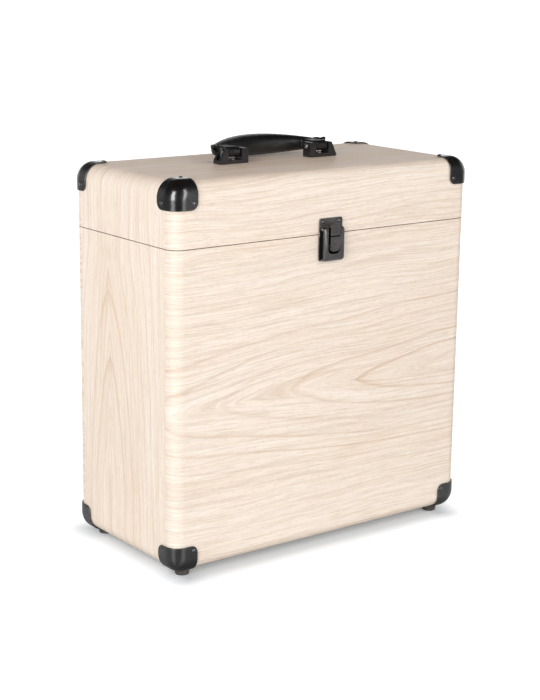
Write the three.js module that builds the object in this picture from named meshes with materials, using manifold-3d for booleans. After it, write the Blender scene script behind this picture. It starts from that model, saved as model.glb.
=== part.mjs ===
// A carrying case for 12 inch records: a board box sawn into a body and a hinged lid, with metal
// corner protectors, a folding handle, a toggle latch at the front and two stop hinges at the back.
// Millimetres, +Z up, the front looks along -Y. The origin is on the ground, under the middle.
import * as THREE from "three";
import { mergeVertices } from "three/addons/utils/BufferGeometryUtils.js";
import Module from "manifold-3d";

const wasm = await Module();
wasm.setup();

// Driving dimensions of the box
const caseWidth = 341;
const caseDepth = 164;
const caseHeight = 350;
const lidHeight = 58;
const footHeight = 7;
const cornerRadius = 15;
const edgeRadius = 12;
const boardThickness = 9;
const panelThickness = 13;
const seamGap = 0.8;

// Clearances
const jointGap = 0.3;
const drillClearance = 0.3;
const cutOverrun = 5;
const weldDistance = 0.0001;

// Places that follow from the box
const caseBottom = footHeight;
const caseTop = caseBottom + caseHeight;
const caseMiddle = caseBottom + caseHeight / 2;
const seamHeight = caseTop - lidHeight;
const frontFace = -caseDepth / 2;
const backFace = caseDepth / 2;
const innerWidth = caseWidth - 2 * boardThickness;
const innerDepth = caseDepth - 2 * panelThickness;
const innerRadius = cornerRadius - boardThickness;

// Materials
function finish(color, roughness, metalness) {
  return new THREE.MeshStandardMaterial({ color, roughness, metalness });
}
const woodFilm = finish(0xead8c4, 0.55, 0);
const velour = finish(0x17171a, 0.95, 0);
const blackMetal = finish(0x1b1b1d, 0.32, 0.9);
const brightMetal = finish(0xb9b9bc, 0.3, 1);
const blackRubber = finish(0x141414, 0.8, 0);
const gripLeather = finish(0x161617, 0.5, 0);

// Faces in a quarter turn of each kind of round form
const cornerSteps = 7;
const edgeSteps = 5;
const roundSteps = 14;
const arcSteps = 4;

const part = new THREE.Group();
const quarterTurn = Math.PI / 2;
const alongYFrame = new THREE.Matrix4().makeBasis(
  new THREE.Vector3(1, 0, 0),
  new THREE.Vector3(0, 0, 1),
  new THREE.Vector3(0, -1, 0),
);
const alongXFrame = new THREE.Matrix4().makeBasis(
  new THREE.Vector3(0, 1, 0),
  new THREE.Vector3(0, 0, 1),
  new THREE.Vector3(1, 0, 0),
);

// Adds one named piece to the case, from a solid or a geometry.
function piece(name, form, material) {
  const geometry = form.isBufferGeometry ? form : toGeometry(form);
  geometry.computeVertexNormals();
  const mesh = new THREE.Mesh(geometry, material);
  mesh.name = name;
  part.add(mesh);
  return mesh;
}

function toGeometry(made) {
  const { numProp, vertProperties, triVerts } = made.getMesh();
  const places = [];
  for (let i = 0; i < vertProperties.length; i += numProp) {
    places.push(vertProperties[i], vertProperties[i + 1], vertProperties[i + 2]);
  }
  const geometry = new THREE.BufferGeometry();
  geometry.setAttribute("position", new THREE.Float32BufferAttribute(places, 3));
  geometry.setIndex([...triVerts]);
  return geometry;
}

function toSolid(geometry) {
  const bare = geometry.clone();
  bare.deleteAttribute("normal");
  bare.deleteAttribute("uv");
  const merged = mergeVertices(bare, weldDistance);
  const mesh = new wasm.Mesh({
    numProp: 3,
    vertProperties: merged.attributes.position.array,
    triVerts: new Uint32Array(merged.index.array),
  });
  return new wasm.Manifold(mesh);
}

function join(first, ...others) {
  return others.reduce((made, other) => made.add(other), first);
}

function cut(first, ...others) {
  return others.reduce((made, other) => made.subtract(other), first);
}

function box(x0, x1, y0, y1, z0, z1) {
  const geometry = new THREE.BoxGeometry(x1 - x0, y1 - y0, z1 - z0);
  geometry.translate((x0 + x1) / 2, (y0 + y1) / 2, (z0 + z1) / 2);
  return toSolid(geometry);
}

function extruded(shape, length) {
  return new THREE.ExtrudeGeometry(shape, {
    depth: length,
    bevelEnabled: false,
    curveSegments: arcSteps,
  });
}

// A front outline, drawn in X and Z, carried from y0 to y1.
function alongY(shape, y0, y1) {
  const geometry = extruded(shape, y1 - y0);
  geometry.applyMatrix4(alongYFrame);
  geometry.translate(0, y1, 0);
  return toSolid(geometry);
}

// A side outline, drawn in Y and Z, carried from x0 to x1.
function alongX(shape, x0, x1) {
  const geometry = extruded(shape, x1 - x0);
  geometry.applyMatrix4(alongXFrame);
  geometry.translate(x0, 0, 0);
  return toSolid(geometry);
}

// A plan outline, drawn in X and Y, carried from z0 to z1.
function alongZ(shape, z0, z1) {
  const geometry = extruded(shape, z1 - z0);
  geometry.translate(0, 0, z0);
  return toSolid(geometry);
}

// A closed outline through points [x, y, radius], each corner rounded by its radius.
function outline(points) {
  const shape = new THREE.Shape();
  const count = points.length;
  points.forEach(([x, y, radius = 0], i) => {
    const here = new THREE.Vector2(x, y);
    const before = new THREE.Vector2(...points[(i + count - 1) % count]);
    const after = new THREE.Vector2(...points[(i + 1) % count]);
    const back = before.sub(here).normalize();
    const ahead = after.sub(here).normalize();
    const halfAngle = Math.acos(THREE.MathUtils.clamp(back.dot(ahead), -1, 1)) / 2;
    const reach = radius / Math.tan(halfAngle);
    const from = here.clone().addScaledVector(back, reach);
    const to = here.clone().addScaledVector(ahead, reach);
    if (i === 0) shape.moveTo(from.x, from.y);
    else shape.lineTo(from.x, from.y);
    if (radius > 0) shape.quadraticCurveTo(x, y, to.x, to.y);
  });
  shape.closePath();
  return shape;
}

// A plate or slab outline with four equal round corners, from its lowest to its highest corner.
function roundedOutline(x0, y0, x1, y1, radius) {
  const shape = new THREE.Shape();
  shape.moveTo(x0 + radius, y0);
  shape.lineTo(x1 - radius, y0);
  shape.absarc(x1 - radius, y0 + radius, radius, -quarterTurn, 0);
  shape.lineTo(x1, y1 - radius);
  shape.absarc(x1 - radius, y1 - radius, radius, 0, quarterTurn);
  shape.lineTo(x0 + radius, y1);
  shape.absarc(x0 + radius, y1 - radius, radius, quarterTurn, 2 * quarterTurn);
  shape.lineTo(x0, y0 + radius);
  shape.absarc(x0 + radius, y0 + radius, radius, 2 * quarterTurn, 3 * quarterTurn);
  return shape;
}

// A turned piece: a profile of [radius, height] pairs that starts and ends on its axis.
function turned(profile, direction = "z", steps = roundSteps) {
  const points = profile.map(([radius, height]) => new THREE.Vector2(radius, height));
  const geometry = new THREE.LatheGeometry(points, steps);
  if (direction === "z") geometry.rotateX(quarterTurn);
  if (direction === "-z") geometry.rotateX(-quarterTurn);
  if (direction === "-y") geometry.rotateX(2 * quarterTurn);
  if (direction === "x") geometry.rotateZ(-quarterTurn);
  return geometry;
}

function rod(radius, length, direction, steps = roundSteps) {
  return turned([[0, 0], [radius, 0], [radius, length], [0, length]], direction, steps);
}

function at(geometry, x, y, z) {
  return toSolid(geometry.clone().translate(x, y, z));
}

// A skin through rings of equal point counts, closed by a fan at each end and turned to face out.
function loft(rings) {
  const count = rings[0].length;
  const places = rings.flat();
  const faces = [];
  for (let ring = 0; ring < rings.length - 1; ring++) {
    for (let i = 0; i < count; i++) {
      const a = ring * count + i;
      const b = ring * count + ((i + 1) % count);
      faces.push([a, b, b + count], [a, b + count, a + count]);
    }
  }
  const ends = [rings[0], rings[rings.length - 1]];
  ends.forEach((ring, end) => {
    const middle = ring.reduce((sum, point) => sum.add(point), new THREE.Vector3());
    places.push(middle.divideScalar(count));
    const first = end === 0 ? 0 : (rings.length - 1) * count;
    for (let i = 0; i < count; i++) {
      const a = first + i;
      const b = first + ((i + 1) % count);
      faces.push(end === 0 ? [b, a, places.length - 1] : [a, b, places.length - 1]);
    }
  });
  const volume = faces.reduce((sum, [a, b, c]) => {
    const across = new THREE.Vector3().crossVectors(places[b], places[c]);
    return sum + places[a].dot(across);
  }, 0);
  const geometry = new THREE.BufferGeometry().setFromPoints(places);
  geometry.setIndex(faces.flatMap(([a, b, c]) => (volume < 0 ? [a, c, b] : [a, b, c])));
  return geometry;
}

// The outline of the case seen from the front, drawn in by inset, at depth y.
function caseRing(y, inset, radius) {
  const halfWidth = caseWidth / 2 - inset;
  const halfHeight = caseHeight / 2 - inset;
  const ring = [];
  for (let corner = 0; corner < 4; corner++) {
    const sideX = corner === 0 || corner === 3 ? 1 : -1;
    const sideZ = corner < 2 ? 1 : -1;
    for (let step = 0; step <= cornerSteps; step++) {
      const turn = (corner + step / cornerSteps) * quarterTurn;
      const x = sideX * (halfWidth - radius) + radius * Math.cos(turn);
      const z = caseMiddle + sideZ * (halfHeight - radius) + radius * Math.sin(turn);
      ring.push(new THREE.Vector3(x, y, z));
    }
  }
  return ring;
}

// Rings over the rounded front edge, from the face to the side, for the case grown by growth.
function edgeRings(growth) {
  const rings = [];
  const radius = edgeRadius + growth;
  for (let step = 0; step <= edgeSteps; step++) {
    const turn = (step / edgeSteps) * quarterTurn;
    const inset = radius * (1 - Math.sin(turn)) - growth;
    const y = frontFace - growth + radius * (1 - Math.cos(turn));
    rings.push(caseRing(y, inset, cornerRadius - inset));
  }
  return rings;
}

// The outside of the whole case, grown by growth on every side.
function caseForm(growth) {
  const front = edgeRings(growth);
  const back = front.map((ring) => ring.map((point) => new THREE.Vector3(point.x, -point.y, point.z)));
  return toSolid(loft([...front, ...back.reverse()]));
}

const farX = caseWidth;
const farY = caseDepth;
const belowSeam = box(-farX, farX, -farY, farY, -cutOverrun, seamHeight - seamGap / 2);
const aboveSeam = box(-farX, farX, -farY, farY, seamHeight + seamGap / 2, caseTop + cutOverrun);

// Board box: a bent frame for the sides, and a front and a back panel with the rounded edges
function panel() {
  const rings = edgeRings(0);
  rings.push(caseRing(frontFace + panelThickness, 0, cornerRadius));
  return loft(rings);
}

const frontPanel = toSolid(panel());
const backPanel = toSolid(panel().rotateZ(2 * quarterTurn));

function caseOutline(inset, radius) {
  const halfWidth = caseWidth / 2 - inset;
  return roundedOutline(-halfWidth, caseBottom + inset, halfWidth, caseTop - inset, radius);
}

const frameDepth = innerDepth / 2 - jointGap;
const frame = cut(
  alongY(caseOutline(0, cornerRadius), -frameDepth, frameDepth),
  alongY(caseOutline(boardThickness, innerRadius), -frameDepth - cutOverrun, frameDepth + cutOverrun),
);

// Lining: velour on thin card, stood off the boards by the glue gap
const liningThickness = 1.6;
const lipThickness = 2.4;
const lipClearance = 0.5;
const lipRise = 6;
const lipDrop = 22;
const liningOutset = boardThickness + jointGap;
const liningInset = liningOutset + liningThickness;
const liningDepth = innerDepth / 2 - jointGap;
const lining = cut(
  alongY(caseOutline(liningOutset, innerRadius - jointGap), -liningDepth, liningDepth),
  alongY(
    caseOutline(liningInset, innerRadius - jointGap - liningThickness),
    -liningDepth + liningThickness,
    liningDepth - liningThickness,
  ),
);
const belowLip = box(-farX, farX, -farY, farY, -cutOverrun, seamHeight - lipDrop - jointGap);
const aboveLip = box(-farX, farX, -farY, farY, seamHeight + lipRise + 2 * jointGap, caseTop + cutOverrun);
const lipX = innerWidth / 2 - lipClearance;
const lipY = innerDepth / 2 - lipClearance;
const lipTop = seamHeight + lipRise;
const lipBottom = seamHeight - lipDrop;
const lip = cut(
  box(-lipX, lipX, -lipY, lipY, lipBottom, lipTop),
  box(
    -lipX + lipThickness,
    lipX - lipThickness,
    -lipY + lipThickness,
    lipY - lipThickness,
    lipBottom - cutOverrun,
    lipTop + cutOverrun,
  ),
);

// Screws and rivets: a domed head and a plain shank, with the head's underside at height zero
const headEdgeShare = 0.45;
const headCrownShare = 0.62;
const fastenerSteps = 10;

function fastener(headRadius, headHeight, shankRadius, shankLength, direction) {
  return turned(
    [
      [0, -shankLength],
      [shankRadius, -shankLength],
      [shankRadius, 0],
      [headRadius, 0],
      [headRadius, headHeight * headEdgeShare],
      [headRadius * headCrownShare, headHeight],
      [0, headHeight],
    ],
    direction,
    fastenerSteps,
  );
}

// Holes that the fasteners take in the boards, gathered here and drilled when all are placed
const drilled = { bodyFrame: [], bodyFront: [], bodyBack: [], lidFrame: [], lidFront: [], lidBack: [] };

// Corner protectors: pressed shells over the case's corners, and rubber feet under the lower ones
const protectorX = 25;
const protectorY = 23;
const protectorZ = 24.5;
const protectorThickness = 1.3;
const protectorLobeRadius = 6.5;
const footInsetX = 20;
const footInsetY = 16.5;
const footRadius = 7;
const footTaper = 0.5;
const footRecessRadius = 3.6;
const footRecessDepth = 3.2;
const footScrewHeadRadius = 3;
const footScrewHeadHeight = 1.6;
const footScrewRadius = 1.6;
const footScrewGrip = 7;

function lobe(reachX, reachY) {
  return outline([
    [-cutOverrun, -cutOverrun],
    [reachX, -cutOverrun],
    [reachX, reachY, protectorLobeRadius],
    [-cutOverrun, reachY],
  ]);
}

const protectorSkin = cut(caseForm(jointGap + protectorThickness), caseForm(jointGap));
const protectorCutter = alongY(lobe(protectorX, protectorZ), -cutOverrun, protectorY + cutOverrun)
  .intersect(alongX(lobe(protectorY, protectorZ), -cutOverrun, protectorX + cutOverrun))
  .intersect(alongZ(lobe(protectorX, protectorY), -cutOverrun, protectorZ + cutOverrun));

// The cutter sits at the low left front corner, and the other corners are its mirror images.
const protectorHome = toSolid(toGeometry(protectorCutter).translate(-caseWidth / 2, frontFace, caseBottom));
const footX = caseWidth / 2 - footInsetX;
const footY = caseDepth / 2 - footInsetY;
const protector = protectorSkin.intersect(protectorHome);
const footProtector = cut(
  protector,
  at(rod(footScrewRadius + drillClearance, 2 * footHeight, "z"), -footX, -footY, 0),
);

function mirrored(geometry, sideX, sideY, sideZ) {
  const copy = geometry.clone();
  copy.translate(0, 0, -caseMiddle);
  copy.scale(sideX, sideY, sideZ);
  copy.translate(0, 0, caseMiddle);
  if (sideX * sideY * sideZ < 0) {
    const turnedOver = [...copy.index.array].reverse();
    copy.setIndex(turnedOver);
  }
  return copy;
}

const footTopForm = caseForm(2 * jointGap + protectorThickness);
const footStock = turned([
  [0, footRecessDepth],
  [footRecessRadius, footRecessDepth],
  [footRecessRadius, 0],
  [footRadius - footTaper, 0],
  [footRadius, footHeight],
  [footRadius, footHeight + edgeRadius / 2],
  [0, footHeight + edgeRadius / 2],
]);
const footHole = rod(footScrewRadius + drillClearance, 2 * footHeight, "z");
const foot = cut(at(footStock, -footX, -footY, 0), at(footHole, -footX, -footY, 0), footTopForm);
const footScrewHeadSeat = footRecessDepth - jointGap;
const footScrewLength = footHeight - footScrewHeadSeat + footScrewGrip;
const footScrew = fastener(
  footScrewHeadRadius,
  footScrewHeadHeight,
  footScrewRadius,
  footScrewLength,
  "-z",
);

for (const [row, sideY] of [["front", 1], ["back", -1]]) {
  for (const [side, sideX] of [["left", 1], ["right", -1]]) {
    const place = `${row}_${side}`;
    piece(`corner_bottom_${place}`, mirrored(toGeometry(footProtector), sideX, sideY, 1), blackMetal);
    piece(`corner_top_${place}`, mirrored(toGeometry(protector), sideX, sideY, -1), blackMetal);
    piece(`foot_${place}`, mirrored(toGeometry(foot), sideX, sideY, 1), blackRubber);
    const screw = piece(`foot_screw_${place}`, footScrew.clone(), brightMetal);
    screw.position.set(-sideX * footX, -sideY * footY, footScrewHeadSeat);
    const hole = rod(footScrewRadius + drillClearance, footHeight + footScrewGrip + drillClearance, "z");
    drilled.bodyFrame.push(at(hole, -sideX * footX, -sideY * footY, 0));
  }
}

// Toggle latch: a strike on the lid, a base on the body, a lever on two pivots and a hook on the lever
const latchWidth = 27;
const latchPlateThickness = 1.2;
const latchPlateRadius = 2.5;
const strikeRise = 14.6;
const baseDrop = 24.6;
const latchSeamGap = 1.2;
const leverWidth = 26;
const leverTopRise = 6.4;
const leverThickness = 4.8;
const leverBevel = 2.2;
const leverCornerRadius = 3;
const slotWidth = 13.6;
const slotBottomDrop = 17.8;
const slotRadius = 4.4;
const hookWidth = 11.7;
const hookThickness = 1.5;
const hookProud = 1.5;
const hookRadius = 3.6;
const hookTopRise = 9.4;
const hookBottomDrop = 15.4;
const hookGrooveDrop = 1.4;
const hookGrooveHeight = 1;
const hookGrooveDepth = 0.8;
const clawThickness = 1.9;
const clawCornerShare = 0.62;
const ridgeBottomRise = 4.4;
const ridgeWidth = 10;
const pivotOutset = 3.8;
const pivotRise = 4.6;
const pivotRadius = 0.9;
const pivotClearance = 0.3;
const hookPivotDrop = 15.4;
const hookEyeRadius = 1.9;
const earThickness = 2.2;
const earInset = 1.8;
const earRadius = 1.7;
const earDrop = 5.5;
const earWallShare = 0.72;
const latchRivetRadius = 1.7;
const latchRivetHeight = 0.7;
const latchRivetShank = 1;
const latchRivetGrip = 7;
const strikeRivetInsetX = 4;
const strikeRivetDrop = 3.4;

const plateBack = frontFace - jointGap;
const plateFace = plateBack - latchPlateThickness;
const leverBack = plateFace - jointGap;
const leverFace = leverBack - leverThickness;
const hookFace = leverFace - hookProud;
const pivotY = frontFace - pivotOutset;
const pivotZ = seamHeight + pivotRise;
const hookPivotZ = pivotZ - hookPivotDrop;

function latchPlate(z0, z1) {
  const shape = roundedOutline(-latchWidth / 2, z0, latchWidth / 2, z1, latchPlateRadius);
  return alongY(shape, plateFace, plateBack);
}

const strikeBottom = seamHeight + latchSeamGap / 2;
const strikeTop = seamHeight + strikeRise;
const ridgeFace = hookFace + hookThickness + jointGap;
const ridgeTop = seamHeight + hookTopRise - clawThickness - jointGap;
const ridgeSide = outline([
  [plateBack, seamHeight + ridgeBottomRise],
  [plateFace, seamHeight + ridgeBottomRise],
  [ridgeFace, (seamHeight + ridgeBottomRise + ridgeTop) / 2],
  [ridgeFace, ridgeTop],
  [plateBack, ridgeTop],
]);
const strike = join(latchPlate(strikeBottom, strikeTop), alongX(ridgeSide, -ridgeWidth / 2, ridgeWidth / 2));

const leverBottom = seamHeight - baseDrop;
const leverTop = seamHeight + leverTopRise;
const baseTop = seamHeight - latchSeamGap / 2;
const earFar = leverWidth / 2 - earInset;
const earNear = earFar - earThickness;
const earSide = outline([
  [plateBack, baseTop - earDrop],
  [plateBack, baseTop],
  [plateFace, baseTop],
  [pivotY + earRadius * earWallShare, pivotZ],
  [pivotY, pivotZ + earRadius * earWallShare],
  [pivotY - earRadius, pivotZ + earRadius * earWallShare, earRadius / 2],
  [pivotY - earRadius, pivotZ - earRadius],
  [plateFace, baseTop - earDrop],
]);
const pivotBore = rod(pivotRadius + pivotClearance, latchWidth, "x");
let base = latchPlate(seamHeight - baseDrop, baseTop);
for (const side of [-1, 1]) {
  const x = side < 0 ? -earFar : earNear;
  base = base.add(alongX(earSide, x, x + earThickness));
}
base = cut(base, at(pivotBore, -latchWidth / 2, pivotY, pivotZ));

// The lever's section: a frame with bevelled edges, hollow behind so that it drops over the ears.
function leverRing(y, inset) {
  const halfWidth = leverWidth / 2 - inset;
  const radius = leverCornerRadius - inset / 2;
  const shape = roundedOutline(-halfWidth, leverBottom + inset, halfWidth, leverTop - inset, radius);
  return shape.getPoints(arcSteps).slice(0, -1).map((point) => new THREE.Vector3(point.x, y, point.y));
}
const slotShape = outline([
  [-slotWidth / 2, leverTop + cutOverrun],
  [-slotWidth / 2, seamHeight - slotBottomDrop, slotRadius],
  [slotWidth / 2, seamHeight - slotBottomDrop, slotRadius],
  [slotWidth / 2, leverTop + cutOverrun],
]);
const leverBlock = toSolid(
  loft([
    leverRing(leverBack, 0),
    leverRing(leverFace + leverBevel, 0),
    leverRing(leverFace + leverBevel / 2, leverBevel / 4),
    leverRing(leverFace, leverBevel),
  ]),
);
let lever = cut(leverBlock, alongY(slotShape, leverFace - cutOverrun, leverBack + cutOverrun));
const pocketDrop = earDrop + latchSeamGap + jointGap;
const pocketFace = pivotY - earRadius - pivotClearance;
for (const side of [-1, 1]) {
  const x0 = side < 0 ? -earFar - jointGap : earNear - jointGap;
  const x1 = x0 + earThickness + 2 * jointGap;
  const z0 = seamHeight - pocketDrop;
  lever = lever.subtract(box(x0, x1, pocketFace, leverBack + cutOverrun, z0, leverTop + cutOverrun));
}
const topClearRadius = plateFace - jointGap - pivotY;
const leverTopCut = cut(
  box(-latchWidth, latchWidth, pivotY, leverBack + cutOverrun, pivotZ, leverTop + cutOverrun),
  at(rod(topClearRadius, 2 * latchWidth, "x"), -latchWidth, pivotY, pivotZ),
);
const hookPinHalf = earNear - jointGap;
lever = cut(
  lever,
  leverTopCut,
  at(pivotBore, -latchWidth / 2, pivotY, pivotZ),
  at(rod(pivotRadius + pivotClearance, 2 * hookPinHalf, "x"), -hookPinHalf, pivotY, hookPivotZ),
);

const hookBack = hookFace + hookThickness;
const hookTop = seamHeight + hookTopRise;
const hookGroove = seamHeight - hookGrooveDrop;
const hookShape = roundedOutline(
  -hookWidth / 2,
  seamHeight - hookBottomDrop,
  hookWidth / 2,
  hookTop,
  hookRadius,
);
const clawShape = outline([
  [hookFace + jointGap, hookTop - clawThickness],
  [leverBack, hookTop - clawThickness],
  [leverBack, hookTop - clawThickness / 2],
  [hookBack, hookTop],
  [hookFace + jointGap, hookTop],
]);
const clawHalf = hookWidth / 2 - hookRadius * clawCornerShare;
const hookEye = join(
  at(rod(hookEyeRadius, hookWidth, "x"), -hookWidth / 2, pivotY, hookPivotZ),
  box(
    -hookWidth / 2,
    hookWidth / 2,
    hookFace + hookThickness / 2,
    pivotY,
    hookPivotZ - hookEyeRadius,
    hookPivotZ + hookEyeRadius,
  ),
);
const hook = cut(
  join(alongY(hookShape, hookFace, hookBack), alongX(clawShape, -clawHalf, clawHalf), hookEye),
  at(rod(pivotRadius + pivotClearance, latchWidth, "x"), -latchWidth / 2, pivotY, hookPivotZ),
  box(
    -latchWidth,
    latchWidth,
    hookFace - cutOverrun,
    hookFace + hookGrooveDepth,
    hookGroove - hookGrooveHeight / 2,
    hookGroove + hookGrooveHeight / 2,
  ),
);
const latchPivotInner = slotWidth / 2 + jointGap;
const latchPivotLength = leverWidth / 2 - latchPivotInner - jointGap;
const latchPivot = rod(pivotRadius, latchPivotLength, "x", fastenerSteps);
const hookPinLength = 2 * (hookPinHalf - jointGap);
const hookPin = rod(pivotRadius, hookPinLength, "x", fastenerSteps);
const latchRivet = fastener(latchRivetRadius, latchRivetHeight, latchRivetShank, latchRivetGrip, "-y");
const latchRivetHole = rod(latchRivetShank + drillClearance, latchRivetGrip + drillClearance, "y");
const rivetSeat = plateFace - jointGap / 3;

// Drills one rivet or screw hole from the front face of the latch plates.
function latchHole(x, z) {
  return at(latchRivetHole, x, rivetSeat, z);
}
const strikeRivetX = latchWidth / 2 - strikeRivetInsetX;
const strikeRivetZ = strikeTop - strikeRivetDrop;
let drilledStrike = strike;
for (const [side, x] of [["left", -strikeRivetX], ["right", strikeRivetX]]) {
  const hole = latchHole(x, strikeRivetZ);
  drilledStrike = drilledStrike.subtract(hole);
  drilled.lidFront.push(hole);
  const rivet = piece(`latch_strike_rivet_${side}`, latchRivet.clone(), blackMetal);
  rivet.position.set(x, rivetSeat, strikeRivetZ);
}
const upperRivetZ = (baseTop + hookPivotZ + hookEyeRadius) / 2;
const lowerRivetZ = (hookPivotZ - hookEyeRadius + seamHeight - slotBottomDrop) / 2;
for (const [level, z] of [["upper", upperRivetZ], ["lower", lowerRivetZ]]) {
  const hole = latchHole(0, z);
  base = base.subtract(hole);
  drilled.bodyFront.push(hole);
  const rivet = piece(`latch_base_rivet_${level}`, latchRivet.clone(), blackMetal);
  rivet.position.set(0, rivetSeat, z);
}
piece("latch_strike", drilledStrike, blackMetal);
piece("latch_base", base, blackMetal);
piece("latch_lever", lever, blackMetal);
piece("latch_hook", hook, blackMetal);
const leftPivot = piece("latch_pivot_left", latchPivot.clone(), brightMetal);
leftPivot.position.set(-latchPivotInner - latchPivotLength, pivotY, pivotZ);
const rightPivot = piece("latch_pivot_right", latchPivot.clone(), brightMetal);
rightPivot.position.set(latchPivotInner, pivotY, pivotZ);
const hookPinMesh = piece("latch_hook_pin", hookPin, brightMetal);
hookPinMesh.position.set(-hookPinLength / 2, pivotY, hookPivotZ);

// Stop hinges: two leaves on the back face, three knuckles on a pin, and lugs that meet when open
const hingeSpread = 105;
const hingeWidth = 30;
const hingeLeafHeight = 22;
const hingeLeafThickness = 1.2;
const hingeLeafRadius = 3;
const hingeOutset = 3.5;
const knuckleRadius = 3;
const knuckleGap = 0.4;
const middleKnuckle = 10;
const hingePinRadius = 1;
const hingePinHead = 0.8;
const lugRadius = 3.95;
const lugHalf = 0.7;
const lugWidth = 2;
const lugAngle = Math.PI / 4;
const stopTop = 3.3;
const stopBottom = 5;
const stopOutset = 0.8;
const hingeScrewX = 9;
const hingeScrewZ = 14;
const hingeScrewHead = 2.5;
const hingeScrewHeadHeight = 1;
const hingeScrewRadius = 1.2;
const hingeScrewGrip = 8;
const hingeY = backFace + hingeOutset;
const leafBack = backFace + jointGap;
const leafFace = leafBack + hingeLeafThickness;
const knuckleBore = rod(hingePinRadius + drillClearance, 2 * hingeWidth, "x");

function leafPlate(x, z0, z1) {
  const shape = roundedOutline(x - hingeWidth / 2, z0, x + hingeWidth / 2, z1, hingeLeafRadius);
  return alongY(shape, leafBack, leafFace);
}

function knuckle(x0, x1, radius) {
  return at(rod(radius, x1 - x0, "x"), x0, hingeY, seamHeight);
}

const hingeScrew = fastener(
  hingeScrewHead,
  hingeScrewHeadHeight,
  hingeScrewRadius,
  hingeScrewGrip,
  "y",
);
const hingeScrewHole = rod(hingeScrewRadius + drillClearance, hingeScrewGrip + drillClearance, "-y");
const screwSeat = leafFace + jointGap / 3;

for (const [side, x] of [["left", -hingeSpread], ["right", hingeSpread]]) {
  const bore = at(knuckleBore, x - hingeWidth, hingeY, seamHeight);
  const half = hingeWidth / 2;
  const middle = middleKnuckle / 2;
  const bodyPlate = cut(
    leafPlate(x, seamHeight - hingeLeafHeight, seamHeight + hingeLeafRadius),
    box(x - hingeWidth, x + hingeWidth, backFace, leafFace + cutOverrun, seamHeight, caseTop),
    knuckle(x - half - cutOverrun, x - middle + knuckleGap / 2, knuckleRadius + knuckleGap),
    knuckle(x + middle - knuckleGap / 2, x + half + cutOverrun, knuckleRadius + knuckleGap),
  );
  const lidPlate = cut(
    leafPlate(x, seamHeight - hingeLeafRadius, seamHeight + hingeLeafHeight),
    box(x - hingeWidth, x + hingeWidth, backFace, leafFace + cutOverrun, caseBottom, seamHeight),
    knuckle(x - middle - knuckleGap / 2, x + middle + knuckleGap / 2, knuckleRadius + knuckleGap),
  );
  let bodyLeaf = join(bodyPlate, knuckle(x - middle, x + middle, knuckleRadius));
  let lidLeaf = lidPlate;
  for (const end of [-1, 1]) {
    const inner = x + end * (middle + knuckleGap);
    const outer = x + end * half;
    const x0 = Math.min(inner, outer);
    const x1 = Math.max(inner, outer);
    const stopX0 = end < 0 ? x0 : x1 - lugWidth;
    const lug = new THREE.BoxGeometry(lugWidth, lugRadius - hingePinRadius, 2 * lugHalf);
    lug.translate(stopX0 + lugWidth / 2, (lugRadius + hingePinRadius) / 2, 0);
    lug.rotateX(lugAngle);
    lidLeaf = join(lidLeaf, knuckle(x0, x1, knuckleRadius), at(lug, 0, hingeY, seamHeight));
    bodyLeaf = bodyLeaf.add(
      box(
        stopX0,
        stopX0 + lugWidth,
        leafBack,
        hingeY + stopOutset,
        seamHeight - stopBottom,
        seamHeight - stopTop,
      ),
    );
  }
  bodyLeaf = bodyLeaf.subtract(bore);
  lidLeaf = lidLeaf.subtract(bore);
  for (const [end, screwX] of [["inner", x - hingeScrewX], ["outer", x + hingeScrewX]]) {
    const bodyHole = at(hingeScrewHole, screwX, screwSeat, seamHeight - hingeScrewZ);
    const lidHole = at(hingeScrewHole, screwX, screwSeat, seamHeight + hingeScrewZ);
    bodyLeaf = bodyLeaf.subtract(bodyHole);
    lidLeaf = lidLeaf.subtract(lidHole);
    drilled.bodyBack.push(bodyHole);
    drilled.lidBack.push(lidHole);
    const bodyScrew = piece(`hinge_${side}_body_screw_${end}`, hingeScrew.clone(), blackMetal);
    bodyScrew.position.set(screwX, screwSeat, seamHeight - hingeScrewZ);
    const lidScrew = piece(`hinge_${side}_lid_screw_${end}`, hingeScrew.clone(), blackMetal);
    lidScrew.position.set(screwX, screwSeat, seamHeight + hingeScrewZ);
  }
  piece(`hinge_${side}_body_leaf`, bodyLeaf, blackMetal);
  piece(`hinge_${side}_lid_leaf`, lidLeaf, blackMetal);
  const pinLength = hingeWidth + 2 * hingePinHead;
  const pin = piece(`hinge_${side}_pin`, rod(hingePinRadius, pinLength, "x", fastenerSteps), brightMetal);
  pin.position.set(x - pinLength / 2, hingeY, seamHeight);
}

// Handle: two brackets on the lid, a pivot pin in each, and one moulded grip with a barrel at each end
const gripHalfLength = 67;
const barrelInset = 15.9;
const barrelSpread = gripHalfLength - barrelInset;
const handlePinRise = 10.4;
const barrelRadius = 5;
const barrelLength = 13.4;
const barrelGap = 0.75;
const bracketDepth = 11.5;
const bracketHeight = 13.8;
const bracketInner = 7.2;
const bracketOuterTop = 3.6;
const bracketOuterFoot = 9.2;
const bracketFloor = 3.2;
const bracketFootHeight = 2.6;
const bracketRadius = 1.4;
const bracketPocketRadius = 3.3;
const bracketPocketFloor = 2.2;
const handlePinRadius = 1.8;
const handlePinHeadRadius = 2.6;
const handlePinHeadHeight = 0.8;
const handleScrewHead = 2.8;
const handleScrewHeadHeight = 1.4;
const handleScrewRadius = 1.4;
const handleScrewGrip = 7;
const pocketScrewInset = 3.6;

const lidTop = caseTop + jointGap;
const handlePinZ = lidTop + handlePinRise;
const windowInner = barrelSpread - barrelLength / 2 - barrelGap;
const windowOuter = barrelSpread + barrelLength / 2 + barrelGap;
const bracketEnd = windowInner - bracketInner;
const bracketFoot = windowOuter + bracketOuterFoot;
const pocketX = bracketFoot - pocketScrewInset;

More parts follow.
